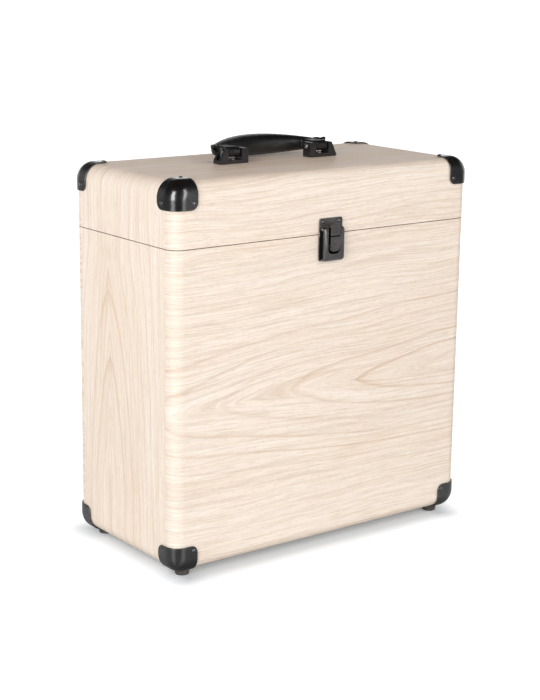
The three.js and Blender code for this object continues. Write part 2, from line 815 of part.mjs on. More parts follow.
const bracketShape = outline([
  [bracketEnd, lidTop],
  [bracketEnd, lidTop + bracketHeight, bracketRadius],
  [windowInner, lidTop + bracketHeight, bracketRadius],
  [windowInner, lidTop + bracketFloor],
  [windowOuter, lidTop + bracketFloor],
  [windowOuter, lidTop + bracketHeight, bracketRadius],
  [windowOuter + bracketOuterTop, lidTop + bracketHeight, bracketRadius],
  [bracketFoot, lidTop + bracketFootHeight, bracketRadius],
  [bracketFoot, lidTop],
]);
const bracketScrewHole = rod(handleScrewRadius + drillClearance, bracketHeight, "z");
const bracket = cut(
  alongY(bracketShape, -bracketDepth / 2, bracketDepth / 2),
  at(rod(handlePinRadius + drillClearance, 2 * barrelSpread, "x"), bracketEnd - cutOverrun, 0, handlePinZ),
  at(bracketScrewHole, barrelSpread, 0, lidTop - cutOverrun),
  at(bracketScrewHole, pocketX, 0, lidTop - cutOverrun),
  at(rod(bracketPocketRadius, bracketHeight, "z"), pocketX, 0, lidTop + bracketPocketFloor),
);
const handlePinLength = bracketInner + 2 * barrelGap + barrelLength + bracketOuterTop;
const handlePin = turned(
  [
    [0, -handlePinHeadHeight],
    [handlePinHeadRadius, -handlePinHeadHeight],
    [handlePinHeadRadius, 0],
    [handlePinRadius, 0],
    [handlePinRadius, handlePinLength],
    [0, handlePinLength],
  ],
  "x",
);
const handleScrew = fastener(handleScrewHead, handleScrewHeadHeight, handleScrewRadius, handleScrewGrip, "z");
const floorSeat = lidTop + bracketFloor + jointGap / 3;
const pocketSeat = lidTop + bracketPocketFloor + jointGap / 3;
const handleScrewHole = rod(handleScrewRadius + drillClearance, handleScrewGrip + drillClearance, "-z");

for (const [side, sideX] of [["left", -1], ["right", 1]]) {
  const bracketMesh = piece(`handle_bracket_${side}`, toGeometry(bracket), blackMetal);
  const pinMesh = piece(`handle_pin_${side}`, handlePin.clone(), brightMetal);
  pinMesh.position.set(sideX * (bracketEnd - jointGap), 0, handlePinZ);
  if (sideX < 0) {
    bracketMesh.rotation.z = Math.PI;
    pinMesh.rotation.z = Math.PI;
  }
  for (const [seat, x, z] of [["inner", barrelSpread, floorSeat], ["outer", pocketX, pocketSeat]]) {
    const screw = piece(`handle_screw_${side}_${seat}`, handleScrew.clone(), brightMetal);
    screw.position.set(sideX * x, 0, z);
    drilled.lidFrame.push(at(handleScrewHole, sideX * x, 0, z));
  }
}

// The grip is a bowed bar with a nub at each end, and an arm from each shoulder to its barrel.
const handleReach = 36.8;
const shoulderReach = 17.5;
const gripHalfThick = 9.9;
const gripHalfWide = 12.4;
const shoulderHalf = 5;
const nubRadius = 2.3;
const gripSquareness = 2.4;
const gripPoints = 16;
const barStations = 20;
const armHalf = 4.6;
const armOverlap = 4;
const nubShares = [
  [0, 0.35],
  [0.06, 0.8],
  [0.16, 1],
  [0.42, 1],
];
const shoulderShares = [
  [0.5, 0.62],
  [0.66, 0.86],
  [0.84, 0.97],
];
const nubLength = 9;
const nubTuck = 7.4;
const nubRise = 4.7;
const barHalf = gripHalfLength - nubLength;

// One ring of the grip at x, with half its height and half its width along the reach. Past the bar's
// ends it turns back towards the brackets and rises.
function gripRing(x, halfThick, halfWide) {
  const across = Math.min(1, Math.abs(x) / barHalf);
  const past = Math.max(0, Math.abs(x) - barHalf) / nubLength;
  const y = shoulderReach + (handleReach - shoulderReach) * (1 - across * across) - past * nubTuck;
  const z = handlePinZ + past * nubRise;
  const ring = [];
  for (let i = 0; i < gripPoints; i++) {
    const turn = (i / gripPoints) * 4 * quarterTurn;
    const c = Math.cos(turn);
    const s = Math.sin(turn);
    const reach = (Math.abs(c) ** gripSquareness + Math.abs(s) ** gripSquareness) ** (-1 / gripSquareness);
    ring.push(new THREE.Vector3(x, y + halfWide * reach * c, z + halfThick * reach * s));
  }
  return ring;
}

const gripRings = [];
const endShares = [
  ...nubShares.map(([share, size]) => [share * nubLength, size * nubRadius]),
  ...shoulderShares.map(([share, size]) => [share * nubLength, size * shoulderHalf]),
];
endShares.forEach(([fromEnd, half]) => gripRings.push(gripRing(fromEnd - gripHalfLength, half, half)));
for (let i = 0; i <= barStations; i++) {
  const x = barHalf * ((2 * i) / barStations - 1);
  const share = 1 - (x / barHalf) ** 2;
  const halfThick = shoulderHalf + (gripHalfThick - shoulderHalf) * share;
  const halfWide = shoulderHalf + (gripHalfWide - shoulderHalf) * share;
  gripRings.push(gripRing(x, halfThick, halfWide));
}
endShares
  .reverse()
  .forEach(([fromEnd, half]) => gripRings.push(gripRing(gripHalfLength - fromEnd, half, half)));

let handle = toSolid(loft(gripRings));
for (const side of [-1, 1]) {
  const x0 = side * barrelSpread - barrelLength / 2;
  const x1 = x0 + barrelLength;
  const barrel = at(rod(barrelRadius, barrelLength, "x", 2 * roundSteps), x0, 0, handlePinZ);
  const armEnd = shoulderReach + armOverlap;
  const arm = box(x0, x1, 0, armEnd, handlePinZ - armHalf, handlePinZ + armHalf);
  handle = join(handle, barrel, arm);
}
handle = cut(
  handle,
  at(rod(handlePinRadius + drillClearance, 4 * barrelSpread, "x"), -2 * barrelSpread, 0, handlePinZ),
);
piece("handle", handle, gripLeather);

// The boards, drilled for every fastener
piece("body_frame", cut(frame.intersect(belowSeam), ...drilled.bodyFrame), woodFilm);
piece("body_front_panel", cut(frontPanel.intersect(belowSeam), ...drilled.bodyFront), woodFilm);
piece("body_back_panel", cut(backPanel.intersect(belowSeam), ...drilled.bodyBack), woodFilm);
piece("body_lining", lining.intersect(belowLip), velour);
piece("body_lip", lip, velour);
piece("lid_frame", cut(frame.intersect(aboveSeam), ...drilled.lidFrame), woodFilm);
piece("lid_front_panel", cut(frontPanel.intersect(aboveSeam), ...drilled.lidFront), woodFilm);
piece("lid_back_panel", cut(backPanel.intersect(aboveSeam), ...drilled.lidBack), woodFilm);
piece("lid_lining", lining.intersect(aboveLip), velour);

export default part;
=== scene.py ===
import math

import bmesh
import bpy
import numpy as np
from mathutils import Matrix, Vector


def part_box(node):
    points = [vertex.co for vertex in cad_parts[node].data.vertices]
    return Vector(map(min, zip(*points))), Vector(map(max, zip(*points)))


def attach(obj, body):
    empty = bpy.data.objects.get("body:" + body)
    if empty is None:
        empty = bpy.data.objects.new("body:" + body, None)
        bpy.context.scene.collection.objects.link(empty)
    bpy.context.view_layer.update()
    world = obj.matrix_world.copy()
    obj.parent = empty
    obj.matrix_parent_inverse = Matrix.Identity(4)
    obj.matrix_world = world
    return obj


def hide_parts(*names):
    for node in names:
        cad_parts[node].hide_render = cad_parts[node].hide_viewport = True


# The looks of a carrying case for 12 inch records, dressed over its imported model, in metres.
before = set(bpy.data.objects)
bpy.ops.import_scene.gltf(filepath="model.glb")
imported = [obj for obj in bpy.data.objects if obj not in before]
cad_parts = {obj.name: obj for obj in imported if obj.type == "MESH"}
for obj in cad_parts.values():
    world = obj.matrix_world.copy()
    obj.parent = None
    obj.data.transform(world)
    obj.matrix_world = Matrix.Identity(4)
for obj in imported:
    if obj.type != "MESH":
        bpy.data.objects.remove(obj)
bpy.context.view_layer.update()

# Camera: a long lens well above the lid, to the left in front of the case, that looks down on it. Its
# place and turn come from fitting the case's edges, protectors, brackets and latch to the picture.
CAMERA_PLACE = Vector((-0.91068, -1.19295, 0.54390))
CAMERA_TURN = 0.6498
CAMERA_TILT = 0.2421
CAMERA_ROLL = 0.0132
FOCAL_LENGTH_IN_PIXELS = 1603.4
PICTURE_HEIGHT_IN_PIXELS = 700


def new_object(name, data):
    made = bpy.data.objects.new(name, data)
    bpy.context.scene.collection.objects.link(made)
    return made


camera = new_object("camera", bpy.data.cameras.new("camera"))
camera.data.lens = FOCAL_LENGTH_IN_PIXELS * camera.data.sensor_width / PICTURE_HEIGHT_IN_PIXELS
camera.data.clip_end = 100
camera.matrix_world = Matrix.Translation(CAMERA_PLACE)
for turn, axis in ((-CAMERA_TURN, "Z"), (math.pi / 2 - CAMERA_TILT, "X"), (CAMERA_ROLL, "Z")):
    camera.matrix_world @= Matrix.Rotation(turn, 4, axis)
bpy.context.scene.camera = camera
bpy.context.scene.view_settings.view_transform = "Standard"

# Studio: two tall softboxes, one at the left and one at the front right, give the two upright glints
# on the corner protectors. In a mirror the room is bright behind the case and dim around the camera.
# A strip has a bearing, a width and a power. Ways are measured by their cosine to the camera's own
# view, and rises by the sine of their angle above the floor.
NEAR_CORNER = Vector((-0.17, -0.08, 0))
STRIP_DISTANCE = 3.0
STRIP_HEIGHT = 2.85
STRIP_LEVEL = 1.45
STRIPS = {"left": (math.radians(243), 1.34, 69.0), "right": (math.radians(161), 0.70, 26.0)}
ROOM_AT_FRONT = 1.0
ROOM_BEHIND = 0.85
ROOM_OVERHEAD = 0.16
WHITE = (1, 1, 1, 1)
WARM_OVERHEAD = (1.0, 0.6, 0.4, 1)
MIRRORED_AT_CAMERA = 0.04
MIRRORED_ASIDE = 0.13
MIRRORED_OVERHEAD = 0.02
# Painted reflections on the floor: how bright it glows in mirrors near the case and just under it.
MIRRORED_NEAR_CASE = (0.28, 0.45)
MIRRORED_UNDER_CASE = 0.08
WAYS_TO_CAMERA = (-1.0, -0.6)
WAYS_BEHIND = (0.3, 0.75)
WAYS_TO_STRIP = (0.95, 0.995)
RISE_OVERHEAD = (0.35, 0.7)
RISE_WARM = (0.55, 0.85)
RISE_IN_MIRROR = (0.16, 0.45)
# Painted pools of lamp light on the floor, seen only in mirrors.
LAMP_POOL = 0.55
FLOOR_SIZE = 60.0
FLOOR_PAPER = (0.83, 0.88, 0.92, 1)
# The floor's glow is held low at the case and grows over a short reach: a painted shadow round the case's
# footprint.
FLOOR_GLOW_IN_PAINTED_SHADOW = 0.1
FLOOR_GLOW_AWAY = 0.9
PAINTED_SHADOW_REACH = 0.038
DARK_FLOOR_REACH = 0.045
BRIGHT_FLOOR_REACH = 0.45
CASE_FOOTPRINT = (0.1535, 0.080, 0)


def set_all(target, settings):
    for name, value in settings.items():
        setattr(target, name, value)


def wire(target, inputs):
    """Fills a node's inputs, by place or name, each with a value, a socket or a node's first output."""
    for place, value in inputs.items() if isinstance(inputs, dict) else enumerate(inputs):
        if isinstance(value, bpy.types.Node):
            value = value.outputs[0]
        if isinstance(value, bpy.types.NodeSocket):
            target.id_data.links.new(value, target.inputs[place])
        elif value is not None:
            target.inputs[place].default_value = value


def node(tree, kind, inputs=(), **settings):
    made = tree.nodes.new(kind)
    set_all(made, settings)
    wire(made, inputs)
    return made


def math_node(operation, *values):
    return node(values[0].id_data, "ShaderNodeMath", values, operation=operation).outputs[0]


def times(product, *factors):
    for factor in factors:
        product = math_node("MULTIPLY", product, factor)
    return product


def plus(first, second):
    return math_node("ADD", first, second)


def vector_node(operation, *values, output=0):
    return node(values[0].id_data, "ShaderNodeVectorMath", values, operation=operation).outputs[output]


def spread(value, low, high, to_low=0.0, to_high=1.0):
    return node(value.id_data, "ShaderNodeMapRange", [value, low, high, to_low, to_high]).outputs[0]


def blend(share, first, second):
    inputs = [share, None, first, second]
    return node(share.id_data, "ShaderNodeMix", inputs, data_type="FLOAT").outputs[0]


def mixed(share, first, second):
    inputs = {0: share, 6: first, 7: second}
    return node(share.id_data, "ShaderNodeMix", inputs, data_type="RGBA").outputs[2]


def camera_and_mirror_rays(tree):
    """Which rays come straight from the camera, and which by way of a mirror or glass."""
    rays = node(tree, "ShaderNodeLightPath").outputs
    mirrored = math_node("MAXIMUM", rays["Is Glossy Ray"], rays["Is Transmission Ray"])
    return rays["Is Camera Ray"], mirrored


def along_level(way, bearing):
    """How far a way, taken level, leads in a bearing: from one down to minus one for the opposite way."""
    unit_way = vector_node("NORMALIZE", vector_node("MULTIPLY", way, (1, 1, 0)))
    goal = (math.sin(bearing), math.cos(bearing), 0)
    return vector_node("DOT_PRODUCT", unit_way, goal, output="Value")


def mirrored_level(away, at_camera, aside):
    """What a mirror shows by the way it looks: dark at the camera, white behind the case."""
    near_side = spread(away, *WAYS_TO_CAMERA, at_camera, aside)
    return blend(spread(away, *WAYS_BEHIND), near_side, 1.0)


for side, (bearing, width, power) in STRIPS.items():
    lamp = bpy.data.lights.new(side + "_strip", "AREA")
    set_all(lamp, {"shape": "RECTANGLE", "size": width, "size_y": STRIP_HEIGHT, "energy": power})
    strip = new_object(side + "_strip", lamp)
    out = Vector((math.sin(bearing), math.cos(bearing), 0))
    place = NEAR_CORNER + out * STRIP_DISTANCE + Vector((0, 0, STRIP_LEVEL))
    strip.matrix_world = Matrix.Translation(place) @ out.to_track_quat("Z", "Y").to_matrix().to_4x4()

room = bpy.data.worlds.new("room")
room.use_nodes = True
tree = room.node_tree
way = node(tree, "ShaderNodeTexCoord").outputs["Generated"]
rise = node(tree, "ShaderNodeSeparateXYZ", [way]).outputs["Z"]
away = along_level(way, CAMERA_TURN)
seen, mirrored = camera_and_mirror_rays(tree)
around = spread(away, *WAYS_BEHIND, ROOM_AT_FRONT, ROOM_BEHIND)
lighting = blend(spread(rise, *RISE_OVERHEAD), around, ROOM_OVERHEAD)
in_mirror = mirrored_level(away, MIRRORED_AT_CAMERA, MIRRORED_ASIDE)
reflected = blend(spread(rise, *RISE_IN_MIRROR), in_mirror, MIRRORED_OVERHEAD)
strength = blend(seen, blend(mirrored, lighting, reflected), 1.0)
tint = mixed(spread(rise, *RISE_WARM), WHITE, WARM_OVERHEAD)
wire(tree.nodes["Background"], {"Color": tint, "Strength": strength})
bpy.context.scene.world = room

floor_mesh = bpy.data.meshes.new("floor")
half_floor = FLOOR_SIZE / 2
corners = [(x * half_floor, y * half_floor, 0) for x, y in ((-1, -1), (1, -1), (1, 1), (-1, 1))]
floor_mesh.from_pydata(corners, [], [(0, 1, 2, 3)])
floor = new_object("floor", floor_mesh)
floor_finish = bpy.data.materials.new("white_sweep")
floor_finish.use_nodes = True
tree = floor_finish.node_tree
tree.nodes.remove(tree.nodes["Principled BSDF"])
spot = node(tree, "ShaderNodeTexCoord").outputs["Object"]
past_case = vector_node("SUBTRACT", vector_node("ABSOLUTE", spot), CASE_FOOTPRINT)
past_case = vector_node("MAXIMUM", past_case, (0, 0, 0))
distance = vector_node("LENGTH", past_case, output="Value")
seen, mirrored = camera_and_mirror_rays(tree)
# Painted shadow: for camera rays the floor's own glow is low at the case and grows to white away from it.
glow = spread(distance, 0, PAINTED_SHADOW_REACH, FLOOR_GLOW_IN_PAINTED_SHADOW, FLOOR_GLOW_AWAY)
# Painted reflections: in mirrors the floor glows by itself, dark just under the case, brighter near it than
# far off, with painted pools of lamp light in the strips' bearings from the near corner.
away = along_level(spot, CAMERA_TURN)
far_shine = mirrored_level(away, MIRRORED_AT_CAMERA, MIRRORED_ASIDE)
near_shine = mirrored_level(away, *MIRRORED_NEAR_CASE)
shine = blend(spread(distance, 0, BRIGHT_FLOOR_REACH), near_shine, far_shine)
from_corner = vector_node("SUBTRACT", spot, NEAR_CORNER)
for bearing, _, _ in STRIPS.values():
    pool = spread(along_level(from_corner, bearing), *WAYS_TO_STRIP, 0, LAMP_POOL)
    shine = plus(shine, pool)
shine = blend(spread(distance, 0, DARK_FLOOR_REACH), MIRRORED_UNDER_CASE, shine)
own_light = blend(mirrored, times(seen, glow), shine)
emitted = node(tree, "ShaderNodeEmission", {"Color": WHITE, "Strength": own_light})
paper = node(tree, "ShaderNodeBsdfDiffuse", {"Color": FLOOR_PAPER})
lit_floor = node(tree, "ShaderNodeAddShader", [paper, emitted])
shown_floor = node(tree, "ShaderNodeMixShader", [mirrored, lit_floor, emitted])
wire(tree.nodes["Material Output"], {"Surface": shown_floor})
floor_mesh.materials.append(floor_finish)

# Board box: a bent fibreboard frame makes the sides, top and bottom, and a front and a back panel
# with rounded edges close it. Each is wrapped in a wood-print film, and the lid is sawn off last.
CORNER_RADIUS = 0.015
EDGE_RADIUS = 0.012
BOARD_THICKNESS = 0.009
PANEL_THICKNESS = 0.013
FILM_JOINT = 0.00005
SEAM_WRAP = 0.00006
CORNER_STEPS = 18
EDGE_STEPS = 12

case_low, body_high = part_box("body_frame")
lid_low, case_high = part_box("lid_frame")
half_width = case_high.x
half_depth = -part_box("body_front_panel")[0].y
case_bottom, case_top = case_low.z, case_high.z
case_middle = (case_bottom + case_top) / 2
half_height = (case_top - case_bottom) / 2
core_x, core_z = half_width - CORNER_RADIUS, half_height - CORNER_RADIUS
seam_low, seam_high = body_high.z, lid_low.z
seam = (seam_low + seam_high) / 2
SIDES = (("left", -1), ("right", 1))
ROWS = (("front", -1), ("back", 1))


def srgb(red, green, blue):
    def linear(value):
        value /= 255
        return value / 12.92 if value <= 0.04045 else ((value + 0.055) / 1.055) ** 2.4
    return (linear(red), linear(green), linear(blue), 1)


def finish(name):
    """A new material, its surface shader and a piece's own coordinates."""
    material = bpy.data.materials.new(name)
    material.use_nodes = True
    tree = material.node_tree
    return material, tree.nodes["Principled BSDF"], node(tree, "ShaderNodeTexCoord").outputs["Object"]


def noise(where, stretch, detail=2.0, roughness=0.5, seed=0.0):
    """Noise over a place vector: stretch is the number of features in a metre, on each axis or on all."""
    stretch = stretch if isinstance(stretch, tuple) else (stretch,) * 3
    scaled = vector_node("MULTIPLY", where, stretch)
    moved = vector_node("ADD", scaled, (seed, seed * 1.7, seed * 0.6))
    inputs = {"Vector": moved, "Scale": 1.0, "Detail": detail, "Roughness": roughness}
    return node(where.id_data, "ShaderNodeTexNoise", inputs).outputs["Fac"]


def bumped(shader, height, depth, strength):
    bump = node(shader.id_data, "ShaderNodeBump", {"Height": height, "Distance": depth, "Strength": strength})
    wire(shader, {"Normal": bump, "Coat Normal": bump})


def dress(piece, body, slot, *nodes):
    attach(piece, body)
    for node_name in nodes:
        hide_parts(node_name)


FILM_LIGHT = srgb(252, 239, 226)
FILM_WARM = srgb(248, 231, 213)
FILM_WHITE = srgb(255, 249, 242)
FILM_RING = srgb(208, 172, 134)
FILM_STREAK = srgb(214, 192, 168)
FILM_PORE = srgb(205, 182, 160)
RING_SPACING = 0.011
FINE_RING_SPACING = 0.0026
TIP_SHARPNESS = 0.013
FIGURE_BEND = 0.005
GRAIN_WAVE = 0.0009
HEART_IN_GRAIN = 0.3
RINGS_PALE_FROM = (0.066, 0.1)
TIP_SHADE_REACH = 0.009


def film_finish(name, tip_start, figure_length, axis, deep, shallow, seed, tilt=0.0, contrast=1.0):
    """Pale ash print. Growth rings are the contours of a trunk cut near its heart: they close to pointed
    tips along axis from tip_start on, where the cut's depth falls evenly from deep to shallow."""
    material, shader, _ = finish(name)
    tree = material.node_tree
    where = node(tree, "ShaderNodeUVMap", uv_map="film").outputs[0]
    along, across, _ = node(tree, "ShaderNodeSeparateXYZ", [where]).outputs

    def patches(place, stretch, detail, roughness, number, *levels):
        return spread(noise(place, stretch, detail, roughness, seed + number), *levels)

    bend = patches(where, (6, 14, 0), 1.5, 0.5, 0, 0.2, 0.8, -FIGURE_BEND, FIGURE_BEND)
    wave = patches(where, (12, 70, 0), 2.0, 0.5, 3, 0.2, 0.8, -GRAIN_WAVE, GRAIN_WAVE)
    tilted_axis = math_node("MULTIPLY_ADD", along, -tilt, plus(across, -axis))
    off_axis = plus(tilted_axis, plus(bend, wave))
    run = spread(along, tip_start, tip_start + figure_length)
    heart = math_node("MULTIPLY_ADD", run, shallow - deep, deep)
    aside = math_node("ABSOLUTE", off_axis)
    pointed = times(aside, plus(aside, TIP_SHARPNESS))
    radius = math_node("SQRT", math_node("MULTIPLY_ADD", heart, heart, pointed))
    flatter = math_node("SQRT", plus(times(heart, heart, HEART_IN_GRAIN), pointed))
    grain = node(tree, "ShaderNodeCombineXYZ", [along, flatter, across]).outputs[0]

    def ring_lines(radius, spacing, weakest):
        """Dark late wood at each ring's end, each ring of its own strength, and the place in the ring."""
        rings = math_node("DIVIDE", radius, spacing)
        late = math_node("FRACT", rings)
        darkening = spread(late, 0.7, 0.92)
        line = times(darkening, darkening, spread(late, 1.0, 0.94))
        number = math_node("FLOOR", rings)
        own = node(tree, "ShaderNodeTexWhiteNoise", {"W": number}, noise_dimensions="1D").outputs["Value"]
        return times(line, spread(own, 0.25, 1, weakest, 1.0)), late

    patchy = patches(where, (9, 40, 0), 2.0, 0.6, 9, 0.3, 0.55, 0.45, 1.0)
    ring_line, late = ring_lines(radius, RING_SPACING, 0.35)
    ring_share = times(ring_line, spread(radius, *RINGS_PALE_FROM, 1.0, 0.45), patchy)
    broken = patches(grain, (16, 260, 30), 2.0, 0.6, 4, 0.36, 0.58)
    fine_share = times(ring_lines(flatter, FINE_RING_SPACING, 0.1)[0], broken)
    at_tip = times(spread(late, 0.4, 0.0), spread(aside, TIP_SHADE_REACH, 0.0))
    cloud = patches(grain, (3, 30, 10), 2.0, 0.5, 8, 0.3, 0.7)
    pale = patches(grain, (11, 430, 30), 2.0, 0.6, 1, 0.5, 0.66)
    streak = patches(grain, (9, 520, 30), 2.0, 0.65, 5, 0.46, 0.64)
    fibre = patches(grain, (45, 1100, 60), 2.0, 0.65, 6, 0.48, 0.7)
    pore = patches(where, (190, 2400, 0), 1.0, 0.5, 7, 0.60, 0.70)
    colour = mixed(cloud, FILM_LIGHT, FILM_WARM)
    for share, level, tone in (
        (at_tip, 0.3, FILM_RING),
        (pale, 0.45, FILM_WHITE),
        (streak, 0.38, FILM_STREAK),
        (fine_share, 0.46, FILM_RING),
        (ring_share, 0.62, FILM_RING),
        (fibre, 0.36, FILM_STREAK),
        (pore, 0.35, FILM_PORE),
    ):
        colour = mixed(times(share, level * contrast), colour, tone)
    roughness = spread(streak, 0, 1, 0.38, 0.52)
    wire(shader, {"Base Color": colour, "Roughness": roughness, "Specular IOR Level": 0.4})
    relief = plus(times(streak, 0.6), plus(fibre, pore))
    bumped(shader, times(relief, -1.0), 0.00012, 0.6)
    return material


front_film = film_finish("film_front", -0.185, 0.40, 0.157, 0.0632, 0.0072, 2.0, 0.01)
back_film = film_finish("film_back", -0.15, 0.40, 0.21, 0.060, 0.010, 31.0)
frame_film = film_finish("film_frame", 0.235, 0.22, 0.021, 0.0501, 0.0112, 17.0, contrast=0.75)

# The sawn edge under the film: brown fibreboard, slightly furry.
sawn_board, shader, where = finish("sawn_board")
speckle = noise(where, 900, 3.0, 0.7)
brown = mixed(speckle, srgb(150, 118, 84), srgb(196, 164, 126))
wire(shader, {"Base Color": brown, "Roughness": 0.85})
bumped(shader, speckle, 0.0002, 0.5)


def outline_ring(inset, steps=CORNER_STEPS):
    """The case's outline seen from the front, drawn in by inset, as x and z."""
    points = []
    for corner, (side_x, side_z) in enumerate(((1, 1), (-1, 1), (-1, -1), (1, -1))):
        for step in range(steps + 1):
            turn = (corner + step / steps) * math.pi / 2
            radius = CORNER_RADIUS - inset
            z = side_z * core_z + radius * math.sin(turn)
            points.append((side_x * core_x + radius * math.cos(turn), z + case_middle))
    return points


def lofted(rings, banded=False):
    """A skin through rings of equal point counts: capped at both ends, or banded, with its ends joined."""
    shape = bmesh.new()
    rows = [[shape.verts.new(point) for point in ring] for ring in rings]
    for first, second in zip(rows, rows[1:] + rows[:banded]):
        for i in range(len(first)):
            j = (i + 1) % len(first)
            shape.faces.new((first[i], first[j], second[j], second[i]))
    if not banded:
        shape.faces.new(reversed(rows[0]))
        shape.faces.new(rows[-1])
    bmesh.ops.recalc_face_normals(shape, faces=shape.faces)
    return shape


def at_depth(outline, y):
    return [(x, y, z) for x, z in outline]


def slab(outline, y0, y1):
    """A front outline, of x and z, carried from y0 to y1."""
    return lofted([at_depth(outline, y) for y in (y0, y1)])


def modify(piece, kind, **settings):
    set_all(piece.modifiers.new(kind.lower(), kind), settings)


def as_piece(name, shape, materials, smooth_under=35):
    """Makes the mesh an object, smooth but for edges sharper than smooth_under degrees."""
    mesh = bpy.data.meshes.new(name)
    shape.to_mesh(mesh)
    shape.free()
    for material in materials:
        mesh.materials.append(material)
    mesh.shade_smooth()
    mesh.set_sharp_from_angle(angle=math.radians(smooth_under))
    return new_object(name, mesh)


def cut_off(shape, height, keep_below):
    """Cuts a form off at a height, and gives the edges of the cut."""
    cut = bmesh.ops.bisect_plane(
        shape,
        geom=shape.verts[:] + shape.edges[:] + shape.faces[:],
        plane_co=(0, 0, height),
        plane_no=(0, 0, 1),
        clear_outer=keep_below,
        clear_inner=not keep_below,
    )
    return [item for item in cut["geom_cut"] if isinstance(item, bmesh.types.BMEdge)]


def saw(shape, height, keep_below):
    """Cuts the box off and closes the cut with bare board, as the second material."""
    for face in bmesh.ops.holes_fill(shape, edges=cut_off(shape, height, keep_below), sides=0)["faces"]:
        face.material_index = 1
    bmesh.ops.recalc_face_normals(shape, faces=shape.faces)


def lay_film(piece, place_on_film):
    """Gives each corner of each face its place on the film, in metres along and across the print."""
    layer = piece.data.uv_layers.new(name="film")
    for loop in piece.data.loops:
        layer.data[loop.index].uv = place_on_film(piece.data.vertices[loop.vertex_index].co)


def panel_film(point):
    """The film of a front or back panel: flat on the face, and unrolled over its rounded edge."""
    x, z = point.x, point.z - case_middle
    near = Vector((max(-core_x, min(core_x, x)), max(-core_z, min(core_z, z))))
    out = Vector((x, z)) - near
    inset = CORNER_RADIUS - out.length
    if out.length < 1e-6 or inset > EDGE_RADIUS - 1e-6:
        return (x, z + case_middle)
    into_case = half_depth - abs(point.y)
    turn = math.acos(max(-1, min(1, 1 - into_case / EDGE_RADIUS)))
    length = EDGE_RADIUS * turn + max(0, into_case - EDGE_RADIUS)
    base = near + out.normalized() * (CORNER_RADIUS - EDGE_RADIUS + length)
    return (base.x, base.y + case_middle)


def frame_film_place(point):
    """The film of the bent frame: its length runs round the case from the middle of the top, left first."""
    x, z = point.x, point.z - case_middle
    if z > core_z:
        round_part = math.atan2(max(0, abs(x) - core_x), z - core_z) * CORNER_RADIUS
        length = min(abs(x), core_x) + round_part
    elif z > -core_z:
        length = core_x + CORNER_RADIUS * math.pi / 2 + core_z - z
    else:
        round_part = math.atan2(-core_z - z, max(0, abs(x) - core_x)) * CORNER_RADIUS
        length = core_x + CORNER_RADIUS * math.pi / 2 + 2 * core_z + round_part + core_x - min(abs(x), core_x)
    return (-math.copysign(length, x), point.y)


def panel_shape(side):
    """A whole panel; side is -1 for the front and 1 for the back."""
    rings = []
    for step in range(EDGE_STEPS + 1):
        turn = step / EDGE_STEPS * math.pi / 2
        depth = half_depth - EDGE_RADIUS * (1 - math.cos(turn))
        inset = EDGE_RADIUS * (1 - math.sin(turn))
        rings.append(at_depth(outline_ring(inset), side * depth))
    rings.append(at_depth(outline_ring(0), side * (half_depth - PANEL_THICKNESS)))
    return lofted(rings)


def frame_shape():
    """The bent frame as a closed band: outer skin, two rims and inner skin."""
    half_band = half_depth - PANEL_THICKNESS - FILM_JOINT
    corners = ((0, -half_band), (0, half_band), (BOARD_THICKNESS, half_band), (BOARD_THICKNESS, -half_band))
    return lofted([at_depth(outline_ring(inset), y) for inset, y in corners], banded=True)


for body, height, keep_below in (("body", seam_low + SEAM_WRAP, True), ("lid", seam_high - SEAM_WRAP, False)):
    for board, shape, film, place_on_film in (
        ("front_panel", panel_shape(-1), front_film, panel_film),
        ("back_panel", panel_shape(1), back_film, panel_film),
        ("frame", frame_shape(), frame_film, frame_film_place),
    ):
        saw(shape, height, keep_below)
        covered = as_piece(f"{body}_{board}_film", shape, [film, sawn_board])
        lay_film(covered, place_on_film)
        dress(covered, body, "wood_film", f"{body}_{board}")

# Lining: black velour glued on thin card inside both halves, with a card lip wrapped in the same
# velour round the body's opening, which guides the lid when it closes.
LINING_THICKNESS = 0.0016
LINING_CORNER_STEPS = 8
LIP_WALL = 0.0024
LIP_ROUNDING = 0.0009

velour, shader, where = finish("velour")
pile = noise(where, 2200, 2.0, 0.7)
stroked = noise(where, (14, 14, 22), 3.0, 0.55, 4.0)
nap = plus(times(pile, 0.35), times(spread(stroked, 0.35, 0.65), 0.65))
colour = mixed(nap, srgb(17, 17, 19), srgb(40, 39, 43))
wire(shader, {"Base Color": colour, "Roughness": 0.95, "Sheen Weight": 0.55, "Sheen Roughness": 0.4})
bumped(shader, pile, 0.0004, 0.7)

for body in ("body", "lid"):
    low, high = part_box(f"{body}_lining")
    shape = slab(outline_ring(half_width - high.x, LINING_CORNER_STEPS), -high.y, high.y)
    cut_off(shape, high.z if body == "body" else low.z, keep_below=body == "body")
    lining = as_piece(f"{body}_velour", shape, [velour])
    modify(lining, "SOLIDIFY", thickness=LINING_THICKNESS, offset=-1)
    dress(lining, body, "velour", f"{body}_lining")

lip_low, lip_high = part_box("body_lip")
rings = []
for inset, z in ((0, lip_low.z), (0, lip_high.z), (LIP_WALL, lip_high.z), (LIP_WALL, lip_low.z)):
    x, y = lip_high.x - inset, lip_high.y - inset
    rings.append([(x, y, z), (-x, y, z), (-x, -y, z), (x, -y, z)])
lip = as_piece("body_lip_velour", lofted(rings, banded=True), [velour])
modify(lip, "BEVEL", width=LIP_ROUNDING, segments=3)
dress(lip, "body", "velour", "body_lip")

# Corner protectors: steel shells pressed over all eight corners, painted satin black, each with
# three round tongues. The paint is worn thin along the rims.
PROTECTOR_REACH = np.array([0.025, 0.023, 0.0245])
PROTECTOR_CLEARANCE = 0.0003
PROTECTOR_SKIN = 0.0016
TONGUE_RADIUS = 0.0065
TONGUE_STEPS = 7
SHELL_STEPS = 13
RIM_ROUNDING = 0.00045
WORN_RIM_WIDTH = 0.0009
SHARP_FROM = 50


